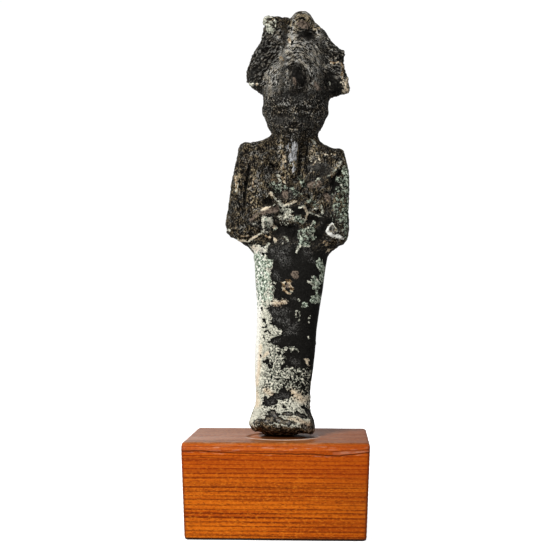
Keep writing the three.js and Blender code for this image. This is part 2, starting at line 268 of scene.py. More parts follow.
def worn_patch_group():
    """A soft field cut to a patch with a ragged edge, whose thin places break up into grains."""
    group = bpy.data.node_groups.new("Worn patch", "ShaderNodeTree")
    for socket, kind, value in (
        ("Field", "NodeSocketFloat", 0.0),
        ("Place", "NodeSocketVector", (0.0, 0.0, 0.0)),
        ("Grain size", "NodeSocketFloat", 0.0008),
        ("Raggedness", "NodeSocketFloat", 2.0),
    ):
        made = group.interface.new_socket(socket, in_out="INPUT", socket_type=kind)
        made.default_value = value
    group.interface.new_socket("Mask", in_out="OUTPUT", socket_type="NodeSocketFloat")
    nodes = Nodes(group)
    given = nodes.add("NodeGroupInput").outputs
    scale = nodes.math("DIVIDE", 1.0, given["Grain size"])
    grains = nodes.noise(given["Place"], scale, detail=2.0, roughness=0.6)
    loose = nodes.times(nodes.minus(grains, 0.5), given["Raggedness"])
    inside = nodes.ramp(given["Field"], 0.12, 0.3)
    cut = nodes.ramp(nodes.plus(given["Field"], loose), 0.45, 0.55)
    nodes.add("NodeGroupOutput", Mask=nodes.times(inside, cut))


def worn_patch(nodes, field, place, grain_size, raggedness):
    """A field cut by the shared group, with its grains' size in metres."""
    group = nodes.add("ShaderNodeGroup", {"node_tree": bpy.data.node_groups["Worn patch"]})
    nodes.feed(group.inputs["Field"], field)
    nodes.feed(group.inputs["Place"], place)
    group.inputs["Grain size"].default_value = grain_size
    group.inputs["Raggedness"].default_value = raggedness
    return group.outputs["Mask"]


# Meshes

def relief_blank(name, node, grid_mm, smoothing):
    """A copy of a solid in millimetres as an even grid of vertices, with its facets worn away."""
    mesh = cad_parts[node].data.copy()
    mesh.name = name
    mesh.materials.clear()
    form = bmesh.new()
    form.from_mesh(mesh)
    bmesh.ops.remove_doubles(form, verts=form.verts, dist=TINY)
    bmesh.ops.scale(form, vec=(1 / MM,) * 3, verts=form.verts)
    form.to_mesh(mesh)
    form.free()
    piece = bpy.data.objects.new(name, mesh)
    bpy.context.scene.collection.objects.link(piece)
    even = piece.modifiers.new("Even grid", "REMESH")
    even.mode = "VOXEL"
    even.voxel_size = grid_mm
    worn = piece.modifiers.new("Worn facets", "SMOOTH")
    worn.factor = 0.5
    worn.iterations = smoothing
    evaluated = piece.evaluated_get(bpy.context.evaluated_depsgraph_get())
    baked = bpy.data.meshes.new_from_object(evaluated)
    piece.modifiers.clear()
    piece.data = baked
    bpy.data.meshes.remove(mesh)
    baked.name = name
    return piece


def vertex_arrays(mesh):
    """A mesh's vertex places and normals as arrays."""
    places = np.empty(len(mesh.vertices) * 3)
    mesh.vertices.foreach_get("co", places)
    normals = np.empty(len(mesh.vertices) * 3)
    mesh.vertex_normals.foreach_get("vector", normals)
    return places.reshape(-1, 3), normals.reshape(-1, 3)


def finish_relief(piece, places):
    """Puts worked places in millimetres back on the mesh, in metres."""
    piece.data.vertices.foreach_set("co", (places * MM).ravel())
    piece.data.update()
    piece.data.shade_smooth()


def paint(mesh, name, *masks):
    """Stores four masks on the vertices."""
    attribute = mesh.attributes.new(name, "FLOAT_COLOR", "POINT")
    attribute.data.foreach_set("color", np.stack(masks, axis=1).ravel())


def smoothstep(low, high, value):
    """The value as a smooth share from low to high, kept between 0 and 1."""
    share = np.clip((value - low) / (high - low), 0.0, 1.0)
    return share * share * (3 - 2 * share)


def grain(points, size, octaves=2, seed=0):
    """Smooth noise of about -1 to 1 at each point, with features of the size given."""
    shift = Vector((31.7, 17.3, 5.9)) * (seed + 1)
    return np.array([noise.fractal(Vector(p) + shift, 1.0, 2.0, octaves) for p in points / size])


def cracks(points, size, seed=0):
    """0 on the borders between rounded cells, rising to about 1 at their middles."""
    shift = Vector((11.3, 27.1, 3.7)) * (seed + 1)
    spans = (noise.voronoi(Vector(p) + shift)[0] for p in points / size)
    return np.array([span[1] - span[0] for span in spans])


def streaks(x, z, strokes):
    """Where each point lies on the nearest stroke: 1 on its line, 0 on its edge, below 0 outside.

    A stroke is (x0, z0, x1, z1, half width)."""
    best = np.full(len(x), -99.0)
    for x0, z0, x1, z1, half in strokes:
        dx, dz = x1 - x0, z1 - z0
        length = max(dx * dx + dz * dz, TINY)
        along = np.clip(((x - x0) * dx + (z - z0) * dz) / length, 0.0, 1.0)
        away = np.hypot(x - x0 - along * dx, z - z0 - along * dz)
        best = np.maximum(best, 1 - away / half)
    return best


# The figure's surface, as strokes of (x0, z0, x1, z1, half width) in percent of its height

# Pale cream mineral
CREAM = (
    # crown
    (-9.9, 97.8, -9.8, 96.8, 0.3), (-9.6, 98.2, -8.2, 98.4, 0.25), (-7.2, 97.8, -7.1, 96.6, 0.2),
    (-9.5, 96.5, -8.4, 96.3, 0.3), (-8.8, 96.1, -8.0, 95.1, 0.5), (6.3, 83.9, 6.5, 83.2, 0.15),
    (-12.3, 82.6, -11.9, 82.4, 0.3),
    # neck
    (3.1, 70.0, 3.7, 68.9, 0.2),
    # breast and hands
    (-6.8, 56.2, -5.9, 57.2, 0.15), (-5.8, 57.0, -5.4, 56.3, 0.3), (-5.3, 56.2, -4.0, 55.2, 0.2),
    (-4.0, 55.1, -3.0, 54.0, 0.32), (-3.0, 53.9, -1.3, 54.6, 0.28), (-1.2, 54.6, 0.2, 55.4, 0.2),
    (-3.0, 53.2, -1.3, 53.0, 0.5), (-1.9, 52.6, -1.0, 52.2, 0.25), (-7.7, 53.0, -6.4, 53.3, 0.25),
    (-6.2, 53.5, -4.8, 54.4, 0.15), (1.2, 54.1, 2.2, 54.0, 0.28), (2.5, 53.8, 3.0, 52.6, 0.28),
    (2.9, 52.4, 2.4, 51.0, 0.2), (3.4, 52.9, 4.5, 52.4, 0.16), (4.5, 52.4, 6.2, 52.0, 0.13),
    (4.5, 53.7, 5.1, 53.6, 0.2), (6.2, 54.6, 6.5, 52.8, 0.18), (-0.4, 56.2, 0.4, 57.2, 0.12),
    # forearms and waist
    (-13.0, 45.8, -10.3, 45.4, 0.15), (-10.2, 45.5, -9.1, 46.5, 0.25), (-9.0, 46.6, -7.0, 48.0, 0.22),
    (-7.0, 48.0, -5.9, 47.6, 0.15), (-7.5, 51.3, -7.0, 48.9, 0.3), (-7.1, 51.0, -5.4, 50.4, 0.35),
    (-5.6, 51.1, -5.4, 49.7, 0.35), (-4.8, 49.0, -4.3, 48.8, 0.25), (-9.5, 49.3, -8.8, 49.6, 0.15),
    (-4.4, 46.2, -4.2, 45.8, 0.25), (-1.9, 47.0, -1.4, 46.2, 0.22), (-2.4, 45.4, -2.0, 45.2, 0.16),
    (-8.6, 43.9, -6.6, 43.6, 0.6), (-6.2, 44.4, -5.6, 45.2, 0.2), (7.9, 44.0, 8.6, 44.6, 0.25),
    (7.65, 48.6, 7.8, 49.5, 0.26), (7.9, 49.7, 8.9, 50.6, 0.17), (9.0, 50.5, 10.1, 48.9, 0.16),
    (7.9, 48.3, 9.2, 47.9, 0.4), (9.2, 47.9, 11.2, 47.5, 0.42), (0.9, 43.4, 1.7, 45.2, 0.3),
    (9.3, 61.0, 9.9, 61.7, 0.13), (10.9, 64.3, 11.6, 62.6, 0.17), (10.3, 59.9, 11.4, 58.7, 0.13),
    (8.2, 62.4, 9.0, 63.2, 0.12), (9.4, 64.0, 10.2, 65.2, 0.12), (7.2, 61.6, 7.7, 61.8, 0.2),
    (-15.3, 47.7, -14.9, 47.6, 0.2),
    # right side of the legs
    (3.9, 36.8, 4.9, 36.1, 0.28), (4.9, 37.8, 5.4, 38.2, 0.2), (2.4, 27.8, 2.8, 27.7, 0.2),
    (4.9, 28.8, 4.7, 28.2, 0.15), (4.7, 27.6, 4.8, 27.3, 0.15), (4.9, 23.7, 5.0, 23.5, 0.2),
    (2.0, 32.3, 2.2, 32.0, 0.2), (4.3, 18.6, 5.1, 18.5, 0.2), (4.6, 18.2, 5.0, 17.4, 0.24),
    (5.1, 17.3, 5.6, 17.3, 0.16), (-3.8, 36.1, -3.5, 35.9, 0.2), (1.5, 29.3, 1.7, 28.5, 0.13),
    (1.6, 29.6, 2.4, 29.6, 0.13), (2.5, 29.4, 2.5, 28.5, 0.13), (1.8, 28.3, 2.4, 28.3, 0.12),
    (-5.2, 31.0, -3.6, 31.2, 0.5), (-0.5, 33.7, 0.3, 34.1, 0.22), (-1.8, 35.0, -1.8, 34.5, 0.16),
    (6.4, 41.5, 6.5, 39.6, 0.34), (7.3, 39.2, 7.4, 37.8, 0.28), (5.2, 32.3, 6.4, 33.4, 0.28),
    (6.1, 34.8, 6.2, 34.1, 0.18), (4.9, 36.3, 6.0, 35.4, 0.18), (5.6, 37.8, 6.4, 36.6, 0.2),
    (2.2, 10.7, 4.0, 9.5, 0.55), (3.4, 31.6, 3.6, 31.4, 0.15), (2.2, 48.9, 3.4, 49.4, 0.16),
    (4.4, 48.6, 4.6, 46.6, 0.14), (2.6, 45.0, 3.8, 45.2, 0.2), (1.4, 47.8, 1.6, 46.4, 0.12),
    (4.6, 51.2, 4.0, 49.6, 0.16),
)
# Cream thinned out to grains
THIN_CREAM = (
    (-3.5, 51.5, -0.4, 51.3, 0.9), (-2.8, 49.9, -1.6, 49.8, 0.5), (-3.0, 53.0, -1.4, 52.6, 0.6),
    (4.6, 66.4, 5.2, 64.8, 0.3), (2.4, 66.0, 3.2, 65.0, 0.3), (-6.8, 50.2, -5.6, 49.4, 0.7),
    (0.4, 51.4, 1.8, 50.9, 0.8), (-9.2, 97.5, -7.8, 97.0, 0.38), (-3.4, 31.4, -2.5, 31.3, 0.8),
    (-1.6, 31.7, -1.0, 31.7, 0.7), (-8.8, 96.2, -7.4, 95.4, 0.7), (9.9, 84.2, 10.3, 81.7, 0.8),
    (3.0, 67.4, 3.9, 66.2, 0.4), (-13.9, 58.6, -14.2, 56.8, 0.35), (4.0, 59.0, 5.0, 61.0, 0.4),
    (-4.6, 61.4, -3.4, 58.4, 0.4),
)
# Pale copper-green mineral
GREEN = (
    (1.0, 60.9, 1.6, 59.3, 0.5), (-0.9, 58.2, -0.2, 57.2, 0.5), (10.1, 61.0, 11.3, 60.0, 0.8),
    (11.0, 63.4, 11.6, 61.0, 0.5), (4.8, 51.0, 4.3, 49.6, 0.3), (2.0, 48.4, 4.0, 48.9, 0.7),
    (1.9, 47.2, 4.2, 47.2, 0.75), (1.8, 45.9, 3.4, 45.5, 0.6), (6.5, 41.6, 7.0, 39.4, 0.75),
    (7.2, 39.0, 7.3, 37.6, 0.55), (5.4, 37.5, 5.5, 38.1, 0.35), (5.3, 37.0, 6.6, 36.4, 0.45),
    (5.5, 35.4, 6.6, 35.4, 0.3), (6.2, 34.6, 6.2, 33.8, 0.35), (5.5, 32.6, 6.6, 33.1, 0.8),
    (5.4, 31.9, 6.8, 32.0, 0.3), (3.4, 31.3, 3.8, 31.3, 0.5), (-5.4, 40.9, -4.7, 40.8, 0.5),
    (0.9, 51.6, 1.5, 50.8, 0.6), (11.75, 63.2, 12.15, 56.0, 0.34), (12.1, 56.0, 12.3, 50.4, 0.32),
)
# Green thinned out to grains
THIN_GREEN = (
    (11.3, 64.0, 11.7, 58.5, 0.55), (10.0, 57.4, 10.4, 52.0, 1.35), (11.5, 58.0, 11.9, 50.0, 0.8),
    (12.1, 50.0, 12.4, 47.2, 0.3), (-5.6, 58.8, -4.0, 58.0, 0.8), (-3.6, 59.0, -2.4, 58.2, 0.5),
    (-2.4, 65.5, -1.2, 63.8, 0.2), (-4.6, 48.4, -4.0, 48.9, 0.2), (-6.7, 50.6, -6.0, 49.2, 0.35),
    (0.6, 57.2, 1.4, 56.6, 0.4), (3.2, 55.8, 4.8, 54.8, 0.7),
)
# Tan and rust-coloured earth
TAN = (
    (9.2, 85.2, 9.4, 87.6, 0.4), (8.9, 88.2, 9.1, 87.8, 0.3), (6.5, 88.4, 8.0, 88.6, 0.25),
    (-10.8, 82.7, -10.6, 82.3, 0.2), (-3.7, 93.4, -3.5, 92.8, 0.35), (-5.4, 89.0, -4.9, 88.5, 0.3),
    (-4.3, 70.0, -3.7, 67.9, 0.2), (-3.6, 66.8, -3.3, 62.8, 0.26), (-3.0, 66.0, -2.9, 64.4, 0.14),
    (6.3, 66.8, 6.9, 66.6, 0.32), (8.0, 66.9, 8.4, 66.8, 0.25), (-3.1, 59.9, -2.7, 59.6, 0.28),
    (-5.9, 60.3, -5.6, 60.2, 0.22), (-4.2, 60.8, -2.7, 60.7, 0.14), (-14.5, 60.3, -14.0, 57.2, 0.32),
    (7.4, 46.1, 7.8, 45.9, 0.45), (-1.9, 36.2, -0.9, 36.4, 0.35), (-0.7, 36.6, -0.1, 36.3, 0.5),
    (-1.5, 35.6, -1.6, 34.6, 0.45), (-1.3, 34.2, -0.3, 33.8, 0.45), (0.0, 34.0, 0.5, 34.8, 0.4),
    (0.1, 35.2, -0.2, 35.9, 0.4), (-2.1, 31.0, -1.9, 31.9, 0.18), (-3.6, 30.9, -3.0, 30.6, 0.15),
    (-7.9, 36.3, -7.9, 36.0, 0.25), (3.6, 64.0, 4.4, 65.4, 0.15), (7.6, 62.4, 8.2, 61.6, 0.2),
    (-10.4, 54.6, -9.8, 53.2, 0.2), (-10.2, 60.0, -10.3, 57.4, 0.14), (-12.2, 46.5, -10.7, 46.6, 0.25),
    (-6.5, 47.0, -5.4, 46.6, 0.25), (7.7, 56.2, 7.4, 55.6, 0.18), (-0.6, 55.2, 0.0, 55.6, 0.15),
)
# Dull pinkish-brown patches
ROSY = (
    (-1.5, 97.3, 0.3, 96.9, 0.75), (3.0, 83.0, 3.7, 82.2, 0.55), (0.9, 38.2, 0.9, 38.2, 0.85),
    (3.3, 59.4, 5.0, 59.6, 0.75), (-0.7, 35.4, -0.3, 36.3, 0.5), (-7.3, 52.7, -4.4, 53.3, 0.75),
    (6.9, 57.4, 7.6, 56.0, 0.55), (-2.6, 57.3, -2.4, 56.2, 0.6), (-3.4, 31.2, -2.4, 31.3, 0.75),
    (-1.2, 31.8, -1.0, 31.7, 0.65), (-10.2, 50.4, -8.9, 51.8, 0.4), (-2.0, 84.2, -1.8, 83.0, 0.35),
)
# Bare greyish metal of the beard
LAVENDER = (
    (-1.6, 68.4, -1.4, 66.4, 1.1), (-1.2, 66.4, -1.0, 64.6, 0.7), (-1.0, 64.0, -0.9, 62.4, 0.3),
    (-2.1, 69.0, -1.2, 68.8, 0.3),
)
# Small deep pits
PITS = (
    (-5.9, 63.3, -5.6, 62.8, 0.35), (3.0, 56.8, 3.2, 56.3, 0.25), (0.4, 64.6, 0.5, 64.4, 0.2),
    (-7.2, 43.2, -6.9, 42.8, 0.35), (-1.5, 90.2, -1.1, 90.1, 0.2), (-4.3, 91.4, -4.1, 91.3, 0.15),
    (6.8, 57.9, 7.0, 57.7, 0.15), (5.4, 85.1, 5.5, 85.0, 0.15), (-3.6, 67.8, -3.5, 67.5, 0.2),
)
# Bare dark metal in the crusts
DARK = (
    # bare places inside the lower crust
    (-5.0, 17.5, -4.3, 17.5, 0.5), (-4.0, 16.8, -3.3, 16.2, 0.3), (-0.8, 16.2, -0.3, 17.0, 0.35),
    (-4.3, 9.0, -4.1, 8.0, 0.35), (-3.9, 7.8, -2.0, 8.3, 0.85), (-1.8, 9.5, 0.3, 9.9, 1.0),
    (-0.7, 10.8, 0.0, 11.0, 0.5), (0.6, 10.2, 1.6, 10.1, 0.45), (-2.6, 5.6, -1.6, 4.6, 0.85),
    (-6.0, 3.6, -3.5, 3.4, 0.55), (-3.5, 4.2, -0.6, 4.0, 0.8), (-1.0, 3.7, 1.6, 3.5, 0.5),
    (0.4, 5.5, 1.9, 5.5, 0.5), (3.2, 5.7, 5.2, 5.2, 0.55), (4.3, 7.4, 5.2, 7.0, 0.35),
    (5.6, 6.6, 7.0, 4.3, 0.5), (7.0, 4.0, 7.4, 2.2, 0.55), (2.4, 3.7, 3.0, 3.6, 0.25),
    (4.8, 3.2, 6.6, 2.9, 0.35), (-7.2, 42.9, -6.9, 42.6, 0.4),
    # small holes and worn rings
    (-5.7, 27.3, -5.4, 26.6, 0.22), (-5.9, 25.4, -5.0, 25.6, 0.16), (-5.4, 24.3, -5.0, 24.6, 0.18),
    (-5.7, 23.6, -5.3, 22.9, 0.2), (-4.6, 24.8, -4.3, 24.2, 0.15), (-6.0, 19.1, -6.0, 18.5, 0.18),
    (-6.4, 29.9, -6.3, 29.8, 0.22), (-5.7, 31.4, -5.6, 31.3, 0.18), (-3.3, 14.2, -3.1, 13.8, 0.2),
    (3.0, 13.1, 3.1, 12.9, 0.22), (2.9, 15.0, 3.1, 14.8, 0.22), (5.2, 10.8, 5.0, 10.5, 0.22),
    (0.4, 20.5, 0.5, 20.2, 0.2), (1.8, 20.4, 2.1, 20.3, 0.18), (-1.7, 19.7, -1.5, 19.5, 0.25),
    (-0.1, 7.4, 0.2, 7.2, 0.25), (-2.0, 18.0, -1.9, 17.9, 0.15), (4.2, 12.6, 4.3, 12.2, 0.25),
)
# The whitest mineral
WHITE = (
    (7.9, 48.3, 9.2, 47.9, 0.6), (9.2, 47.9, 11.2, 47.5, 0.6), (7.6, 48.6, 7.8, 49.6, 0.4),
    (7.9, 49.7, 8.9, 50.7, 0.3),
)
# Warmer, peach-coloured places in the crust
WARM = (
    (-4.4, 10.8, -2.6, 9.9, 0.5), (-6.6, 10.0, -6.0, 7.0, 0.5), (1.8, 10.8, 4.2, 9.2, 0.9),
    (-6.1, 21.0, -6.4, 12.0, 0.35), (1.6, 4.5, 5.8, 3.7, 0.45), (4.4, 18.6, 5.6, 17.2, 0.6),
    (-9.0, 44.0, -8.4, 43.2, 0.5), (-3.6, 31.2, -1.0, 31.6, 0.6), (-5.2, 18.6, -4.4, 19.6, 0.3),
    (9.6, 84.8, 10.6, 81.4, 1.0), (-12.0, 46.0, -8.0, 46.6, 0.6), (-2.2, 55.2, 0.4, 55.6, 0.6),
    (2.2, 53.6, 3.2, 51.6, 0.5), (-8.0, 53.2, -6.2, 53.4, 0.5), (3.0, 67.0, 4.4, 65.6, 1.0),
    (-6.8, 57.4, -5.6, 56.2, 0.5), (-4.8, 49.2, -4.0, 46.0, 0.6), (7.4, 44.2, 9.2, 44.8, 0.6),
)
# Clouds of fine pale scratches on the dark skin
SCRATCHED = (
    (-3.0, 42.6, -1.6, 41.2, 1.2), (-4.8, 43.6, -2.0, 43.4, 0.8), (-4.2, 30.0, -3.4, 28.6, 0.8),
    (-3.0, 29.0, -0.8, 29.4, 0.8), (-3.4, 27.8, -2.4, 27.2, 0.6), (-0.9, 27.2, 0.2, 26.2, 0.8),
    (0.6, 25.4, 1.8, 26.2, 0.8), (-3.6, 38.2, -3.0, 37.0, 0.6), (4.4, 42.0, 5.0, 41.6, 0.4),
    (0.6, 32.6, 1.2, 32.4, 0.3), (-0.6, 24.4, 1.6, 24.6, 0.5), (-3.0, 22.2, -1.6, 22.8, 0.3),
    (-2.4, 45.4, -1.2, 44.8, 0.9), (1.6, 18.0, 2.6, 17.6, 0.6), (-3.6, 8.2, -2.4, 8.2, 0.7),
    (-1.2, 9.8, 0.4, 9.6, 0.8), (-2.4, 5.2, -1.8, 4.4, 0.6), (-4.8, 3.6, -3.0, 3.6, 0.4),
    (0.6, 5.5, 1.6, 5.5, 0.3), (2.0, 46.6, 3.6, 43.6, 0.8),
)
# Smoother places in the rough skin
CALM = (
    (3.8, 64.4, 7.0, 62.8, 1.3), (-1.2, 94.8, 1.4, 94.5, 0.8), (-1.8, 85.6, 0.2, 83.4, 0.9),
    (6.6, 84.6, 8.4, 82.4, 1.2), (-11.8, 85.4, -12.2, 83.8, 0.9), (8.6, 61.0, 8.8, 59.0, 1.0),
    (3.0, 51.4, 6.4, 51.2, 1.0), (-0.2, 53.4, 1.6, 52.8, 1.0), (-7.0, 53.0, -4.0, 53.2, 0.8),
    (-4.4, 57.4, -2.0, 57.0, 1.0), (5.0, 46.0, 9.0, 52.0, 1.6), (-3.0, 48.6, 1.0, 47.0, 1.8),
    (2.6, 60.4, 5.6, 61.0, 0.8),
    # face, from the solid's own proportions
    (-3.2, 74.7, -5.2, 74.0, 0.9), (0.0, 74.7, 2.1, 74.0, 0.9), (-4.0, 80.3, 0.9, 80.3, 0.7),
)
# Zones of paler, finely pitted skin
PALE = (
    (-3.4, 96.4, -2.0, 98.8, 0.6), (-1.6, 99.0, 1.2, 98.9, 0.6), (1.6, 98.4, 3.4, 95.6, 0.8),
    (3.4, 95.2, 4.8, 93.4, 0.7), (-3.2, 96.0, -3.0, 93.4, 0.8), (-3.6, 92.6, -5.0, 89.6, 1.2),
    (-2.4, 91.4, 1.2, 90.6, 1.3), (-6.0, 87.0, -7.6, 84.0, 1.1), (-8.0, 83.6, -7.6, 80.0, 1.0),
    (-5.4, 86.0, -6.2, 82.6, 1.2), (2.4, 91.0, 4.0, 87.4, 0.8), (2.2, 86.6, 4.0, 84.2, 0.7),
    (-10.2, 61.4, -10.0, 55.4, 0.8), (-14.0, 60.6, -14.0, 57.0, 0.6), (3.2, 69.0, 3.4, 66.0, 0.8),
    (-4.6, 69.6, -3.8, 63.0, 0.6), (-3.0, 51.4, 0.2, 51.0, 0.9), (1.0, 51.4, 1.4, 50.8, 0.8),
    (-9.4, 58.8, -8.0, 57.6, 1.0), (4.4, 55.6, 5.2, 54.6, 0.9), (10.0, 57.0, 10.6, 53.0, 1.2),
    (8.4, 50.0, 9.0, 49.2, 0.7), (8.4, 62.6, 10.6, 65.2, 0.7), (-2.0, 61.6, -1.0, 64.8, 0.6),
    (-8.8, 53.0, -9.4, 51.8, 0.7), (6.4, 58.2, 7.8, 58.8, 0.6),
)
# Worn forms too small for the solid: stroke and height in millimetres, below 0 for a hollow
FORMS = (
    # crown
    (-3.2, 95.6, -3.0, 93.6, 0.4, 0.3), (-3.4, 93.0, -4.2, 91.0, 0.5, 0.35),
    (-4.2, 90.6, -5.4, 88.4, 0.6, 0.4), (-5.2, 87.0, -3.2, 87.9, 0.45, 0.3),
    (-3.0, 88.0, -1.0, 88.5, 0.45, 0.3), (-0.6, 88.3, 0.6, 87.4, 0.4, 0.3),
    (0.7, 87.3, 1.8, 85.8, 0.4, 0.3), (-0.8, 92.4, 1.4, 92.9, 0.35, 0.3), (1.6, 92.4, 3.4, 88.6, 0.4, 0.25),
    (3.5, 88.4, 4.4, 85.0, 0.4, 0.25), (-1.4, 97.2, 0.2, 97.0, 1.1, -0.4),
    (-1.4, 94.8, 1.4, 94.6, 1.3, -0.28), (-2.2, 98.6, 0.6, 98.7, 0.5, 0.3),
    (-10.8, 96.4, -9.5, 96.1, 0.35, -1.0), (-9.2, 97.6, -7.8, 97.4, 1.2, 0.35),
    (-8.6, 96.0, -7.8, 95.2, 0.8, 0.35), (3.1, 83.2, 3.8, 82.2, 0.8, 0.35),
    (4.8, 84.6, 6.2, 82.0, 0.25, -0.3), (3.6, 87.4, 4.2, 86.2, 0.2, -0.4), (9.2, 91.2, 9.4, 90.4, 0.5, 0.4),
    (10.0, 84.6, 10.4, 82.0, 0.9, 0.35), (9.6, 88.6, 9.9, 85.0, 0.5, -0.3),
    (-12.2, 82.6, -11.2, 82.4, 0.5, 0.35), (-6.4, 92.4, -5.6, 90.6, 0.2, -0.3),
    (-8.4, 89.4, -8.0, 89.0, 0.25, -0.3), (-1.6, 90.2, -1.0, 90.1, 0.2, -0.45),
    (0.2, 83.0, 0.8, 85.4, 0.2, -0.3),
    # breast, beard and cords
    (-2.8, 69.2, -2.4, 62.0, 0.25, -0.35), (0.3, 69.0, 0.5, 61.4, 0.25, -0.35),
    (1.2, 69.4, 1.1, 62.4, 0.55, 0.25), (2.1, 69.0, 1.9, 62.4, 0.25, -0.3),
    (-3.9, 70.2, -3.4, 62.4, 0.55, 0.35), (-5.0, 69.0, -4.6, 63.4, 0.3, -0.25),
    (3.4, 70.0, 3.9, 66.8, 0.5, 0.3), (3.0, 66.0, 5.6, 65.8, 0.8, 0.25), (0.6, 58.9, 1.9, 61.2, 0.7, 0.4),
    (-1.3, 57.6, 0.1, 58.8, 0.5, 0.35), (1.0, 57.9, 3.1, 60.1, 0.28, -0.45),
    (0.8, 56.8, 2.8, 58.6, 0.4, 0.25), (3.4, 58.8, 4.9, 60.1, 0.8, 0.35),
    (8.2, 62.0, 10.7, 65.9, 0.5, 0.25), (7.3, 62.4, 9.6, 66.0, 0.25, -0.25),
    (-4.0, 60.6, -2.6, 59.8, 0.5, 0.25), (-11.3, 63.6, -11.7, 59.0, 0.35, -0.45),
    (-11.8, 59.0, -12.2, 52.0, 0.35, -0.45),
    # hollows between the hands, the crook and the flail
    (-7.1, 54.9, -6.3, 55.5, 0.9, -0.45), (-5.6, 53.0, -4.3, 53.3, 0.7, -0.4),
    (0.0, 53.4, 1.4, 52.9, 0.95, -0.55), (3.2, 51.1, 5.2, 51.4, 0.85, -0.5),
    (8.7, 61.0, 8.9, 59.2, 0.75, -0.5), (9.9, 58.8, 10.8, 58.7, 0.35, -0.35),
    (9.2, 62.0, 10.5, 63.4, 0.5, -0.45), (5.0, 53.2, 6.0, 53.0, 0.4, -0.35),
    (2.8, 56.9, 3.4, 56.2, 0.28, -0.6), (-4.2, 57.2, -2.6, 57.4, 1.0, -0.25),
    (6.8, 57.9, 7.0, 57.7, 0.25, -0.4), (6.8, 56.4, 7.2, 56.2, 0.35, -0.35),
    (-8.0, 50.6, -7.7, 49.4, 0.25, -0.4), (-3.4, 49.4, 0.6, 49.2, 0.4, -0.3),
    (-6.2, 45.9, -5.2, 45.6, 0.4, -0.3),
    # knuckles, wrists and the edges of the sleeves
    (-3.3, 51.3, -1.8, 51.5, 0.9, 0.4), (-1.0, 51.2, -0.2, 51.0, 0.6, 0.35),
    (0.6, 51.2, 1.6, 51.0, 0.9, 0.4), (-6.6, 50.4, -5.4, 49.8, 0.9, 0.35), (3.6, 56.0, 5.0, 54.6, 0.9, 0.3),
    (6.4, 58.6, 7.4, 59.0, 0.6, 0.25), (8.3, 49.6, 9.4, 49.0, 1.1, 0.5), (8.7, 49.3, 9.1, 49.1, 0.6, -0.3),
    (-12.6, 48.4, -8.8, 49.5, 0.3, 0.25), (-10.8, 50.2, -8.6, 51.3, 0.3, 0.25),
    (-12.8, 45.7, -10.0, 45.4, 0.3, 0.35), (2.0, 48.0, 3.8, 48.4, 1.2, 0.3),
    (2.2, 46.6, 3.2, 45.8, 0.8, 0.3),
    # legs and foot
    (-0.8, 35.2, -0.6, 35.0, 1.2, 0.2), (0.9, 38.2, 0.9, 38.2, 0.8, 0.15), (0.0, 7.3, 0.2, 7.2, 0.3, -0.6),
    (-5.0, 24.4, -4.8, 23.2, 0.3, -0.3), (-6.8, 3.4, -5.4, 3.2, 0.8, 0.5), (-2.6, 5.2, -2.2, 3.6, 0.8, 0.4),
    (2.8, 4.8, 5.6, 3.6, 0.6, 0.4), (6.2, 4.6, 7.0, 2.8, 0.6, 0.5), (-1.4, 2.6, 1.6, 3.0, 0.4, 0.3),
    (-5.6, 1.6, -4.6, 1.8, 0.5, -0.4), (4.4, 1.2, 5.6, 1.8, 0.6, -0.5), (0.6, 5.4, 1.8, 5.5, 0.6, 0.25),
)
# The right-hand border of the crust on the wrapped legs: height, x
CRUST_BORDER = (
    (3.4, -5.4), (11.0, -4.9), (15.0, -4.2), (16.9, -0.6), (18.5, -0.3), (19.8, -1.0), (21.3, -2.0),
    (21.9, -4.4), (22.9, -4.0), (24.2, -0.9), (25.4, -2.1), (26.4, -4.0), (28.0, -4.0), (29.6, -5.2),
    (30.8, -5.0), (32.2, -3.9), (34.8, -3.8), (36.2, -4.9), (39.0, -4.9), (40.6, -4.6), (41.4, -5.9),
    (43.2, -6.6), (44.3, -9.5),
)
# A thin, broken band of crust across the shins
CRUST_BAND = ((-0.8, 20.6, 1.5, 20.9, 0.5), (1.4, 21.3, 2.8, 20.4, 0.25), (-1.6, 19.9, -0.6, 20.1, 0.3))
# Pale worn ridges on the crown and the shoulder
WORN_RIDGES = (
    (-3.2, 95.6, -3.0, 93.6, 0.3), (-3.4, 93.0, -4.2, 91.0, 0.35), (-4.2, 90.6, -5.2, 88.6, 0.45),
    (-5.2, 87.2, -3.2, 87.9, 0.35), (-3.0, 88.0, -1.0, 88.5, 0.3), (-0.6, 88.3, 0.6, 87.4, 0.3),
    (0.7, 87.3, 1.6, 86.2, 0.3), (-0.6, 92.4, 1.3, 93.0, 0.3), (-3.9, 91.6, -2.8, 92.6, 0.4),
    (1.3, 92.2, 2.6, 89.8, 0.25), (2.6, 89.6, 3.6, 87.2, 0.25), (-6.8, 86.6, -8.0, 84.2, 0.5),
    (-7.8, 83.6, -7.2, 80.2, 0.5), (3.4, 95.4, 4.2, 94.4, 0.4), (7.2, 61.6, 8.4, 62.2, 0.25),
    # face, from the solid's own proportions
    (-2.8, 78.3, -5.4, 77.9, 0.3), (-0.4, 78.3, 2.3, 77.9, 0.3), (-3.5, 76.5, -4.9, 76.3, 0.25),
    (0.4, 76.5, 1.8, 76.3, 0.25), (-1.6, 77.7, -1.6, 74.9, 0.3), (-2.1, 74.5, -1.1, 74.5, 0.35),
    (-2.6, 72.2, -0.6, 72.2, 0.25),
)
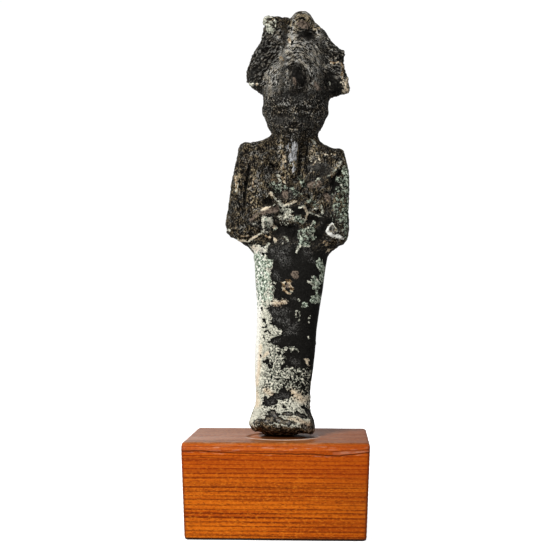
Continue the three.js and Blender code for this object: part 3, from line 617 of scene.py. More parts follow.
# Painted shade: darker skin in the hollows of the crown, the breast and the hands
PAINTED_SHADE = (
    (-1.4, 86.2, -0.8, 83.0, 1.2), (6.4, 85.0, 8.0, 82.4, 1.0), (8.9, 60.6, 9.2, 58.8, 0.8),
    (8.7, 61.2, 10.6, 63.6, 0.35), (10.3, 59.2, 11.0, 58.6, 0.3), (3.3, 51.8, 5.4, 51.2, 0.7),
    (0.0, 53.2, 1.6, 52.9, 0.8), (-6.9, 55.4, -6.2, 55.0, 0.7), (5.0, 47.0, 8.6, 51.6, 0.9),
    (-3.4, 48.6, 0.6, 48.2, 1.2),
    # face: painted shade of the eyes, nose and mouth, from the solid's own proportions
    (-3.1, 77.3, -5.2, 77.1, 0.35), (-0.1, 77.3, 2.1, 77.1, 0.35), (-3.1, 75.6, -5.1, 75.4, 0.3),
    (-0.1, 75.6, 2.0, 75.4, 0.3), (-2.4, 73.7, -0.8, 73.7, 0.25), (-2.8, 72.7, -0.4, 72.7, 0.22),
)

# The long crack in the block's front, as places (x, z) in millimetres
CRACK = (
    (-24.5, 22.35), (-22.0, 22.45), (-19.8, 22.5), (-15.7, 22.25), (-11.3, 22.0), (-4.0, 21.9),
    (3.0, 21.85), (9.0, 21.8), (11.6, 21.6), (16.2, 21.5), (18.5, 21.7), (21.0, 22.05), (24.5, 22.3),
)
# The finer cracks at its left and right ends
SECOND_CRACK = (
    (-24.5, 20.5), (-17.0, 20.8), (-12.8, 20.4), (13.0, 22.2), (15.0, 22.6), (19.0, 22.8), (24.5, 23.0),
)
# The worn oval round the foot: middle x and y, half width and half depth in millimetres
SEAT_MM = (1.3, -2.2, 9.6, 9.6)

# Zones of the figure: heights in percent, from where each one starts to where it is full. Those
# with two pairs have a lower and an upper border.
SOLE = (3.0, 2.2)
SOLE_EDGE = (1.9, 3.1)
FOOT = (8.0, 4.0)
SHINS = (8.0, 11.5)
ANKLES = (11.5, 10.0)
LOW_BAND = (16.9, 16.3)
ABOVE_BAND = (17.5, 19.5)
GREENER_LEGS = ((27.0, 35.0), (44.5, 42.0))
WHITER_LEGS = ((2.0, 22.0), (45.0, 42.0))
FRESHER_LEGS = (45.0, 42.5)
CRUST_TOP = 44.4
CRUST_LIMIT = (46.0, 43.5)
BELOW_ELBOWS = (47.5, 44.0)
FACE = ((69.5, 71.5), (80.5, 78.5))
CROWN = ((76.0, 82.0), (97.5, 94.0))
CARVED_CROWN = (79.5, 82.0)
PLUMES = (80.5, 83.0)
KNOB = (91.5, 93.0)
LUMP = (93.0, 94.5)
# Spacing of the plumes' barbs, in percent
BARB_SPACING = 0.92
# Depths of the pits, the cracks, the dents and the worn oval, and heights of the growth rings, the
# ragged grain and the oval's rim, in millimetres
PIT_DEPTH = 0.7
CRACK_DEPTH = 0.12
DENT_DEPTH = 0.25
SEAT_DEPTH = 0.35
RING_RISE = 0.025
RAGGED_RISE = 0.02
RIM_RISE = 0.15


def eye(stage):
    """Where the camera stands."""
    across = stage.distance * math.sin(stage.azimuth)
    back = stage.distance * math.cos(stage.azimuth)
    return Vector((across, BLOCK_FRONT_MM * MM - back, stage.camera_height))


def sighted_percent(places_mm, eye_mm):
    """Places in millimetres as percent of the figure's height, with the figure stood upright.

    Across and in height each place counts where its line of sight from the eye meets the plane
    through the figure's middle, so that the painted places fall where they are seen."""
    foot = np.array(FOOT_MM)
    share = (foot[1] - eye_mm[1]) / (places_mm[:, 1] - eye_mm[1])
    seen = eye_mm + (places_mm - eye_mm) * share[:, None]
    seen[:, 1] = places_mm[:, 1]
    turn_back = np.array(Matrix.Rotation(-LEAN, 3, "Y"))
    percent = (seen - foot) @ turn_back.T * (SIGHT_SCALE * 100 / FIGURE_HEIGHT_MM)
    percent[:, 2] += SIGHT_RISE
    return percent


def soft_patch(x, z, strokes, fray):
    """A soft field for a mineral: 0.5 on its frayed outline, 1 well inside, 0 well outside."""
    return np.clip(0.5 + 0.6 * (streaks(x, z, strokes) + fray), 0, 1)


def small_forms(x, z, fray):
    """Height in millimetres of the worn forms."""
    height = np.zeros(len(x))
    for *stroke, rise in FORMS:
        height += rise * smoothstep(-0.2, 0.9, streaks(x, z, [stroke]) + fray)
    return height


def grain_direction(x, z):
    """Coordinates along and across the lines of the worn ornament, in percent.

    The lines run down the body, in arches over the crown's dome, and aslant on both plumes."""
    along = z.copy()
    across = x + 0.5 * np.sin(z * 0.35)
    crown = smoothstep(*CARVED_CROWN, z)
    dome_x, dome_z = x + 0.8, (z - 84.0) / 1.35
    ring = np.hypot(dome_x, dome_z)
    turn = np.arctan2(dome_z, dome_x) * 4.0
    across = across + crown * (ring * 1.2 - across)
    along = along + crown * (turn - along)
    for side, degrees in ((smoothstep(-4.2, -5.4, x), 42.0), (smoothstep(3.6, 4.8, x), -28.0)):
        share = side * crown
        angle = math.radians(degrees)
        across = across + share * (z * math.cos(angle) - x * math.sin(angle) - across)
        along = along + share * (z * math.sin(angle) + x * math.cos(angle) - along)
    return along, across


class Casting:
    """The casting's vertices: where they lie, the way they face, and the noise they share."""

    def __init__(self, mesh, eye_mm):
        self.places, self.normals = vertex_arrays(mesh)
        self.percent = sighted_percent(self.places, eye_mm)
        self.x, self.y, self.z = self.percent.T
        self.facing = self.normals[:, 1]
        self.front = smoothstep(0.2, -0.3, self.facing)
        self.turned = smoothstep(-0.5, 0.1, self.facing)
        self.behind = smoothstep(0.1, 0.5, self.facing)
        self.broad = self.grain(5.0, 2, seed=1)
        self.medium = self.grain(1.7, 2, seed=2)
        self.fine = self.grain(0.75, 2, seed=3)
        self.wander = self.grain(1.3, 3, seed=5)
        self.fray = 0.55 * self.wander
        along, across = grain_direction(self.x, self.z)
        self.across = across + 0.45 * self.wander
        self.flow = np.stack([along * 0.34, self.across, self.y], axis=1)

    def grain(self, size, octaves, seed):
        return grain(self.percent, size, octaves, seed)

    def patch(self, strokes, fray=1.0):
        """A mineral's soft field, on the front only, frayed as much as the share says."""
        return soft_patch(self.x, self.z, strokes, fray * self.fray) * self.front


def crust_on_legs(cast, bare):
    """The crust's field: a column up the left of the legs, and a peppered band over the foot."""
    x, z, turned, wander = cast.x, cast.z, cast.turned, cast.wander
    border = np.interp(z, *np.array(CRUST_BORDER).T)
    column = border + (5.0 * cast.broad - 2.5 - border) * cast.behind - x + (0.35 + 0.9 * turned) * wander
    upper_edge = CRUST_TOP + (5.0 * cast.broad + 2.5 * cast.medium - 1.0) * turned
    column = np.minimum(column, (upper_edge - z) * (0.8 - 0.45 * turned) + (0.3 + 0.7 * turned) * wander)
    column -= turned * 5.0 * smoothstep(0.15, 0.5, cast.grain(4.2, 3, seed=11))
    left_edge = smoothstep(-3.0, -7.0, x)
    column = np.clip(0.5 + 0.9 * column, 0, 0.63 + 0.3 * left_edge + 0.08 * cast.medium)
    pepper = 0.55 - 0.028 * (x + 0.5) + 0.16 * cast.medium
    pepper = np.maximum(pepper, 0.66 * smoothstep(*ANKLES, z + 0.5 * cast.medium))
    ragged_top = z + 0.3 * wander + turned * (4 * cast.broad + 1.5 * cast.medium)
    low = pepper * smoothstep(*LOW_BAND, ragged_top) * smoothstep(-0.3, 0.3, 6.2 + 0.8 * wander - x)
    crust = np.maximum.reduce([column, low, 0.72 * cast.patch(CRUST_BAND)])
    crust = crust * (1 - smoothstep(0.4, 0.6, bare))
    crust = crust * smoothstep(*CRUST_LIMIT, z - 4 * turned)
    return crust * smoothstep(*SOLE_EDGE, z + 0.5 * wander - 0.05 * np.abs(x))


def mineral_fields(cast, bare):
    """Soft fields of the cream, green, tan and rosy minerals."""
    x, z, wander = cast.x, cast.z, cast.wander
    crust = crust_on_legs(cast, bare)
    sway, swell = (0.22 * cast.grain(1.1, 2, seed) for seed in (13, 14))
    cream = soft_patch(x + sway, z + swell, CREAM, cast.fray + 0.15) * cast.front
    green = np.maximum(cast.patch(GREEN), 0.68 * cast.patch(THIN_GREEN))
    lower, upper = GREENER_LEGS
    verdigris = crust * smoothstep(*lower, z + 2 * wander) * smoothstep(*upper, z)
    left_edge = smoothstep(-6.6, -7.8, x + 0.5 * wander) * cast.front
    verdigris = verdigris * (0.82 + 0.15 * cast.medium) * (1 - 0.1 * left_edge)

    # Odd spots on the sides and the back, which the front view doesn't settle
    hidden = 1 - cast.front
    clustered = hidden * smoothstep(-0.35, 0.35, cast.broad)
    odd_cream = smoothstep(0.3, 0.6, cast.grain(2.6, 3, seed=8)) * clustered
    odd_green = smoothstep(0.2, 0.6, cast.grain(3.4, 3, seed=9)) * (hidden - 0.7 * clustered)
    odd_rosy = smoothstep(0.3, 0.6, cast.grain(3.0, 2, seed=10)) * hidden
    return (
        np.maximum.reduce([crust, cream, 0.62 * cast.patch(THIN_CREAM), 0.7 * odd_cream]),
        np.maximum.reduce([0.9 * green, verdigris, 0.7 * odd_green]),
        0.8 * cast.patch(TAN, fray=0.6),
        np.maximum(cast.patch(ROSY, fray=0.35), 0.7 * odd_rosy),
    )


def greyed_crust(cast):
    """How grey and speckled the crust is: away from the left edge, on the crown and behind."""
    x, z, wander = cast.x, cast.z, cast.wander
    above_foot = smoothstep(*SHINS, z)
    greyed = smoothstep(-5.0, -2.0, x + wander) * above_foot
    greyed += 0.75 * smoothstep(-6.6, -5.4, x + 0.5 * wander) * (0.35 + 0.65 * above_foot)
    greyed = greyed * (1 - smoothstep(*ABOVE_BAND, z) * 0.4)
    on_lump = smoothstep(*LUMP, z) * smoothstep(-5.5, -7.0, x)
    on_sides = cast.turned * (0.5 + 0.9 * cast.grain(4.0, 2, seed=12))
    return np.clip(np.maximum.reduce([greyed, on_lump, on_sides]), 0, 1)


def corrode(piece, settings, eye_mm):
    """Gives the casting its relief, and stores where each mineral lies and its tone, painted shade
    included.
    """
    mesh = piece.data
    cast = Casting(mesh, eye_mm)
    x, z, wander = cast.x, cast.z, cast.wander

    # Rough corrosion above the elbows, smooth skin below them, crust again on the foot
    below = smoothstep(*BELOW_ELBOWS, z + 0.16 * np.abs(x + 1.2) + 0.5 * wander)
    foot = smoothstep(*FOOT, z)
    rough = 1.0 - 0.9 * below + 0.6 * foot
    plumes = smoothstep(*PLUMES, z) * np.maximum(smoothstep(-3.8, -5.2, x), smoothstep(2.8, 4.4, x))
    barbs = np.sin((cast.across + 0.35 * wander) * 2 * math.pi / BARB_SPACING)
    fibres = grain(cast.flow, 0.7, 2, seed=6)
    cells = cracks(cast.percent, 0.95, seed=4) - 0.45
    relief = rough * (0.6 * cast.medium + 0.5 * fibres + 0.35 * cast.fine + 0.3 * cells + 0.2 * cast.broad)
    relief += plumes * (0.35 * barbs + 0.2 * fibres - 0.55 * relief)
    forms = small_forms(x, z, 0.35 * wander) * cast.front

    bare = cast.patch(DARK)
    cream, green, tan, rosy = mineral_fields(cast, bare)
    ridges = cast.patch(WORN_RIDGES)
    pits = smoothstep(0.35, 0.65, soft_patch(x, z, PITS, 0.5 * cast.fray)) * cast.front
    cover = smoothstep(0.4, 0.6, np.maximum.reduce([cream, green, tan]))
    relief = relief * (1 - 0.4 * cover) + 0.3 * ridges
    depth = settings.corrosion * relief + forms
    depth += settings.crust_height * cover * (0.7 + 0.6 * cast.fine)
    depth -= PIT_DEPTH * pits
    places = cast.places + cast.normals * depth[:, None]

    # The sole sags towards the block at both sides of the foot, and stays clear of it on the right
    sag = 0.7 + 0.2 * smoothstep(4.0, 6.0, x)
    sag = sag * smoothstep(4.0, 6.0, np.abs(x + 0.3)) * smoothstep(5.0, 2.2, z)
    clearance = 0.8 * smoothstep(2.2, 4.2, x) * smoothstep(7.2, 6.0, x)
    places[:, 2] = np.maximum(places[:, 2] - sag, BLOCK_TOP_MM + clearance)
    finish_relief(piece, places)

    # How light the skin is: its own tone, with painted light and shade from the relief and the worn forms
    painted_shade, pale, calm, scratched = (cast.patch(strokes) for strokes in (PAINTED_SHADE, PALE, CALM, SCRATCHED))
    crown, face, white_side = (
        smoothstep(*lower, z) * smoothstep(*upper, z) for lower, upper in (CROWN, FACE, WHITER_LEGS)
    )
    # Painted shade: the skin darker round the cream crust's edge, as if in its shadow
    crust_edge_shade = smoothstep(0.02, 0.3, cream) * smoothstep(0.6, 0.35, cream)
    # The worn forms lighten the skin on their crests and darken it in their hollows, partly the patina's
    # own tone and partly painted light and shade
    forms_patina_and_shade = 0.8 * np.clip(forms, 0, 0.3) + 0.95 * np.clip(forms, -0.6, 0)
    tone = rough * (0.372 + 0.2 * relief + forms_patina_and_shade + 0.09 * pale)
    legs = 0.11 + 0.08 * np.clip(cast.medium + cast.broad, 0, 1) + 0.03 * scratched
    tone += 0.17 * foot + (1 - rough) * legs
    tone += 0.36 * foot * smoothstep(0.75, 0.98, bare)
    tone -= 0.3 * smoothstep(0.3, 0.5, bare) * smoothstep(0.95, 0.75, bare)
    # Painted highlight on the crown's knob; the plumes a little darker
    tone += 0.07 * smoothstep(*KNOB, z) * smoothstep(4.8, 3.6, np.abs(x + 0.4)) - 0.1 * plumes
    # Pale worn ridges; painted light and shade across the plumes' barbs; painted shade in the hollows and
    # at the crust's edge
    tone += 0.25 * ridges + 0.11 * barbs * crown - 0.3 * painted_shade - 0.2 * crust_edge_shade
    tone = np.clip(tone, 0, 1) * (1 - pits)

    smooth_skin = np.clip(np.maximum(below - foot * (1 - 0.4 * bare), 0.8 * calm), 0, 1)
    lavender = 0.72 * cast.patch(LAVENDER)
    earth = smoothstep(*SOLE, z + 0.5 * wander - 0.05 * np.abs(x))
    white_side *= smoothstep(-5.9, -7.2, x) * (1 - 0.75 * smoothstep(-0.25, 0.2, cast.facing))
    white = np.maximum(soft_patch(x, z, WHITE, cast.fray), 0.8 * white_side)
    weave = 0.7 + 0.3 * smoothstep(*CARVED_CROWN, z) - 0.5 * face
    fleck = 1.05 + 0.2 * face + 0.25 * cast.broad + 1.1 * pale - 0.35 * painted_shade - 0.25 * calm
    fresh = smoothstep(*FRESHER_LEGS, z)
    scratched = np.maximum(scratched, 0.5 * foot * bare)
    paint(mesh, "minerals", cream, green, tan, rosy)
    paint(mesh, "skin", tone, smooth_skin, lavender, earth)
    paint(mesh, "tints", cast.patch(WARM), scratched, 0.6 * crown + 0.35 * face, greyed_crust(cast))
    paint(mesh, "weave", weave, np.clip(fleck, 0.3, 1.6), white, fresh)
    direction = mesh.attributes.new("grain_direction", "FLOAT_VECTOR", "POINT")
    direction.data.foreach_set("vector", (cast.flow * (FIGURE_HEIGHT_MM / 100 * MM)).ravel())


# Sizes of the bronze's finest markings, in metres
FIBRE_SIZE = 0.00034
GRAIN_SIZE = 0.00036
CLOUD_SIZE = 0.0015
MOTTLE_SIZE = 0.0008
SPECK_SIZE = 0.00054
# Colours of the bronze besides its settings, in linear light. Stops are (share, colour).
COOL_TONES = (
    (0.27, (0.0085, 0.0078, 0.0066, 1)), (0.42, (0.044, 0.042, 0.037, 1)), (0.62, (0.145, 0.14, 0.126, 1)),
)
WARM_TONES = (
    (0.27, (0.0092, 0.0075, 0.0053, 1)), (0.42, (0.046, 0.036, 0.024, 1)), (0.62, (0.145, 0.113, 0.068, 1)),
)
EARTH_TONES = (
    (0.43, (0.001, 0.001, 0.001, 1)), (0.5, (0.045, 0.030, 0.016, 1)), (0.56, (0.18, 0.125, 0.07, 1)),
    (0.64, (0.46, 0.40, 0.30, 1)),
)
SPECKLED_CRUST = (
    (0.36, (0.02, 0.022, 0.018, 1)), (0.44, (0.15, 0.16, 0.125, 1)), (0.52, (0.35, 0.36, 0.29, 1)),
    (0.63, (0.78, 0.75, 0.62, 1)),
)
GREEN_OVER_CREAM = (
    (0.40, (0.012, 0.018, 0.012, 1)), (0.47, (0.09, 0.12, 0.085, 1)), (0.54, (0.31, 0.37, 0.29, 1)),
    (0.61, (0.80, 0.84, 0.72, 1)),
)
NEAR_BLACK = (0.004, 0.0037, 0.0032, 1)
SCRATCH = (0.13, 0.127, 0.118, 1)
BEARD_DARK = (0.10, 0.10, 0.10, 1)
BEARD_PALE = (0.52, 0.52, 0.53, 1)
ROSY_DARK = (0.05, 0.037, 0.028, 1)
PEACH = (0.66, 0.50, 0.33, 1)
CHALK = (0.92, 0.91, 0.86, 1)
GREEN_VEIN = (0.006, 0.008, 0.006, 1)
GREEN_SPECK = (0.56, 0.64, 0.52, 1)
TAN_DARK = (0.035, 0.024, 0.014, 1)
TAN_PALE = (0.48, 0.39, 0.26, 1)
TAN_PALEST = (0.68, 0.62, 0.50, 1)


def bronze_material(settings):
    """Rough and smooth skin under mineral crusts, which thin out to grains."""
    material, nodes, shader = new_material("bronze_patina")
    place = nodes.add("ShaderNodeTexCoord").outputs["Object"]
    direction = nodes.add("ShaderNodeAttribute", {"attribute_name": "grain_direction"}).outputs["Vector"]
    cream, green, tan, rosy = nodes.masks("minerals")
    tone, smooth_skin, lavender, earth = nodes.masks("skin")
    warm, scratched, cool, greyed = nodes.masks("tints")
    fibrous, fleck, white, fresh = nodes.masks("weave")

    fibres = nodes.noise(direction, 1 / FIBRE_SIZE, detail=3.0, roughness=0.6)
    grains = nodes.noise(place, 1 / GRAIN_SIZE, detail=3.0, roughness=0.6)
    clouds = nodes.noise(place, 1 / CLOUD_SIZE, detail=3.0, roughness=0.6)
    mottle = nodes.noise(place, 1 / MOTTLE_SIZE, detail=3.0, roughness=0.65)
    specks = nodes.noise(place, 1 / SPECK_SIZE, detail=2.0, roughness=0.55)
    crests = nodes.minus(0.09, nodes.apart(fibres, 0.5))
    fibre_lift = nodes.plus(nodes.times(nodes.minus(fibres, 0.5), 0.9), nodes.times(crests, 0.5))
    fibre_lift = nodes.times(nodes.times(fibre_lift, fibrous), 6.1)
    grain_lift = nodes.minus(grains, 0.5)

    # Rough skin, from hollows to worn ridges, warmer in some places than in others
    grain_strength = nodes.minus(5.0, nodes.times(fibrous, 3.2))
    flecks = nodes.plus(fibre_lift, nodes.times(grain_lift, grain_strength))
    rough_tone = nodes.times(nodes.plus(tone, nodes.times(flecks, fleck)), 0.65)
    warmth = nodes.math("MAXIMUM", nodes.minus(nodes.ramp(clouds, 0.38, 0.56), cool), 0.0)
    cool_skin, warm_skin = (
        nodes.colours(rough_tone, (0.0, solid(settings.hollow)), *tones, (0.85, solid(ridge)))
        for tones, ridge in ((COOL_TONES, settings.ridge), (WARM_TONES, settings.warm_ridge))
    )
    rough_skin = nodes.blend(warmth, cool_skin, warm_skin)

    # Smooth dark skin with fine scratches
    scratch_lift = nodes.times(grain_lift, nodes.plus(1.0, nodes.times(scratched, 2.6)))
    lines = nodes.ramp(nodes.apart(mottle, 0.5), 0.022, 0.0)
    scratch_lift = nodes.plus(scratch_lift, nodes.times(nodes.times(lines, scratched), 1.1))
    calm_tone = nodes.plus(tone, scratch_lift)
    calm_skin = nodes.colours(calm_tone, (0.0, NEAR_BLACK), (0.3, solid(settings.dark)), (0.9, SCRATCH))
    base = nodes.blend(smooth_skin, rough_skin, calm_skin)

    # The beard's bare metal, rosy patches and earth under the foot
    lavender_share = worn_patch(nodes, lavender, direction, 0.0008, 2.4)
    beard_colour = nodes.blend(nodes.ramp(fibres, 0.38, 0.62), BEARD_DARK, BEARD_PALE)
    base = nodes.coat(base, lavender_share, 0.9, beard_colour)
    rosy_share = worn_patch(nodes, rosy, place, 0.0006, 1.3)
    rosy_colour = nodes.blend(nodes.ramp(specks, 0.38, 0.58), ROSY_DARK, solid(settings.rosy))
    base = nodes.coat(base, rosy_share, 0.8, rosy_colour)
    earth_colour = nodes.colours(nodes.times(nodes.plus(mottle, clouds), 0.5), *EARTH_TONES)
    base = nodes.coat(base, earth, 0.9, earth_colour)

    # Cream crust, veined with darker lines and greyed by specks
    cream_share = worn_patch(nodes, cream, place, 0.00047, 2.5)
    dull = solid(settings.dull_crust)
    cream_colour = nodes.blend(nodes.ramp(grains, 0.45, 0.66), solid(settings.crust), dull)
    between_veins = nodes.ramp(nodes.apart(grains, 0.5), 0.0, 0.035)
    unveined = nodes.math("MAXIMUM", between_veins, nodes.ramp(cream, 0.75, 0.95))
    cream_colour = nodes.blend(unveined, dull, cream_colour)
    cream_colour = nodes.coat(cream_colour, greyed, 0.85, nodes.colours(specks, *SPECKLED_CRUST))
    cream_colour = nodes.coat(cream_colour, warm, 0.6, PEACH)
    cream_colour = nodes.coat(cream_colour, white, 0.8, CHALK)
    base = nodes.blend(cream_share, base, cream_colour)

    # Green crust, fresher on the legs, and paler where it lies over the cream
    green_share = worn_patch(nodes, green, place, 0.0008, 2.5)
    green_light = nodes.plus(mottle, nodes.times(nodes.minus(fresh, 0.6), 0.08))
    mottled = nodes.ramp(green_light, 0.44, 0.6)
    green_colour = nodes.blend(mottled, solid(settings.deep_green), solid(settings.green))
    between_veins = nodes.ramp(nodes.apart(clouds, 0.5), 0.0, 0.045)
    green_colour = nodes.blend(between_veins, GREEN_VEIN, green_colour)
    speck_share = nodes.plus(0.65, nodes.times(fresh, 0.25))
    green_colour = nodes.coat(green_colour, nodes.ramp(specks, 0.56, 0.62), speck_share, GREEN_SPECK)
    fine_specks = nodes.plus(nodes.times(specks, 0.6), nodes.times(grains, 0.4))
    on_cream = nodes.colours(fine_specks, *GREEN_OVER_CREAM)
    green_colour = nodes.coat(green_colour, cream_share, 0.9, on_cream)
    base = nodes.blend(green_share, base, green_colour)

    tan_share = worn_patch(nodes, tan, place, 0.0007, 2.4)
    tan_stops = (0.38, TAN_DARK), (0.46, solid(settings.ochre)), (0.54, TAN_PALE), (0.64, TAN_PALEST)
    base = nodes.blend(tan_share, base, nodes.colours(mottle, *tan_stops))

    nodes.feed(shader.inputs["Base Color"], base)
    cover = nodes.math("MAXIMUM", nodes.math("MAXIMUM", cream_share, green_share), tan_share)
    nodes.feed(shader.inputs["Roughness"], nodes.plus(0.55, nodes.times(cover, 0.4)))
    shader.inputs["Specular IOR Level"].default_value = 0.025
    uneven = nodes.plus(nodes.times(fibres, 1.2), grains)
    uneven = nodes.times(uneven, nodes.minus(1.0, nodes.times(smooth_skin, 0.7)))
    uneven = nodes.plus(uneven, nodes.times(cover, 0.5))
    bump = nodes.add("ShaderNodeBump", Strength=1.0, Distance=0.0003, Height=uneven)
    nodes.feed(shader.inputs["Normal"], bump.outputs["Normal"])
    return material


def work_wood(piece, settings):
    """Gives the sawn block its growth rings, cracks, dented edges and worn oval, and masks for painted
    shade.
    """
    places, normals = vertex_arrays(piece.data)
    x, y, z = places.T
    front = smoothstep(-0.3, -0.7, normals[:, 1]) * smoothstep(0.5, -0.5, y - BLOCK_FRONT_MM - 3)
    bend = grain(places * np.array((0.05, 0.2, 0.4)), 1.0, 2, seed=20)
    rings = np.sin((z + 0.12 * y + 0.5 * bend) * 2 * math.pi / settings.ring_spacing)
    ragged = grain(places * np.array((0.25, 1, 1)), 0.9, 2, seed=21)
    depth = RING_RISE * rings + RAGGED_RISE * ragged
    split, second_split = (z - np.interp(x, *np.array(line).T) for line in (CRACK, SECOND_CRACK))
    depth -= CRACK_DEPTH * smoothstep(0.6, 0.0, np.abs(split)) * front
    second_length = np.maximum(0.75 * smoothstep(-8.5, -11.0, x), smoothstep(12.5, 15.0, x))
    corner = smoothstep(BLOCK_TOP_MM - 2.4, BLOCK_TOP_MM - 0.6, z) * (1 - np.abs(normals[:, 2]))
    dents = smoothstep(0.25, 0.7, grain(places, 2.2, 2, seed=22)) * corner
    depth -= DENT_DEPTH * dents

    # The worn oval round the figure's foot, a little sunk, with its paler front rim, partly a painted gleam
    seat_x, seat_y, half_width, half_depth = SEAT_MM
    top = smoothstep(0.75, 0.98, normals[:, 2])
    from_foot = np.hypot((x - seat_x) / half_width, (y - seat_y) / half_depth)
    depth -= SEAT_DEPTH * smoothstep(0.55, 0.7, from_foot) * smoothstep(1.02, 0.92, from_foot) * top
    lip = smoothstep(0.1, 0.02, np.abs(from_foot - 1.06)) * smoothstep(-5.0, -10.0, y) * top
    places += normals * depth[:, None]
    places[:, 2] = np.clip(places[:, 2], 0.0, BLOCK_TOP_MM) + RIM_RISE * lip
    finish_relief(piece, places)

    # Masks: painted shade on the upright edges; the oval's inside, rim and shadow under the foot; the end
    # grain
    shaded_upright_edge = smoothstep(0.1, 0.4, np.abs(normals[:, 0]) * np.abs(normals[:, 1]))
    hollow = smoothstep(1.0, 0.85, from_foot) * top
    rim_and_gleam = lip * smoothstep(-0.5, 0.5, ragged + 0.4)
    shade = smoothstep(1.0, 0.75, from_foot + 0.3 * smoothstep(-2.0, -6.0, x)) * top
    ends = smoothstep(0.6, 0.9, np.abs(normals[:, 0]))
    paint(piece.data, "wear", split, dents, corner, second_split)
    paint(piece.data, "edges", top, shaded_upright_edge, front, second_length)
    paint(piece.data, "seat", hollow, rim_and_gleam, shade, ends)


# Sizes of the end grain's pores and of the dust on the top, in metres
PORE_SIZE = 0.0003
DUST_SIZE = 0.0009
# Colours of the wood besides its settings, in linear light
PALE_FIBRE = (0.62, 0.15, 0.005, 1)
PORE = (0.06, 0.010, 0.002, 1)
PALE_PORE = (0.68, 0.21, 0.015, 1)
END_GRAIN = (0.16, 0.030, 0.002, 1)
RAY = (0.58, 0.19, 0.03, 1)
OPEN_PORE = (0.04, 0.008, 0.002, 1)
WORN_EDGE_AND_SHEEN = (0.64, 0.29, 0.12, 1)
GLINT = (0.88, 0.60, 0.42, 1)
DULL_TOP_DARK = (0.15, 0.047, 0.010, 1)
DULL_TOP_PALE = (0.33, 0.12, 0.03, 1)
TOP_SHEEN = (0.50, 0.33, 0.22, 1)
OVAL_WOOD_AND_REFLECTION = (0.46, 0.125, 0.018, 1)
SHADOW_UNDER_FOOT = (0.03, 0.011, 0.005, 1)
PALE_RIM_AND_GLEAM = (0.80, 0.66, 0.54, 1)
DARK_DENTS_AND_EDGE_SHADE = (0.12, 0.025, 0.005, 1)
SHADE_TO_RIGHT = (0.20, 0.032, 0.001, 1)
REDDENED = (0.30, 0.030, 0.001, 1)
CRACK_DARK = (0.03, 0.007, 0.002, 1)
SCRAPED_AND_LIP_GLINT = (0.50, 0.27, 0.17, 1)
BOTTOM_SHADOW = (0.01, 0.006, 0.004, 1)


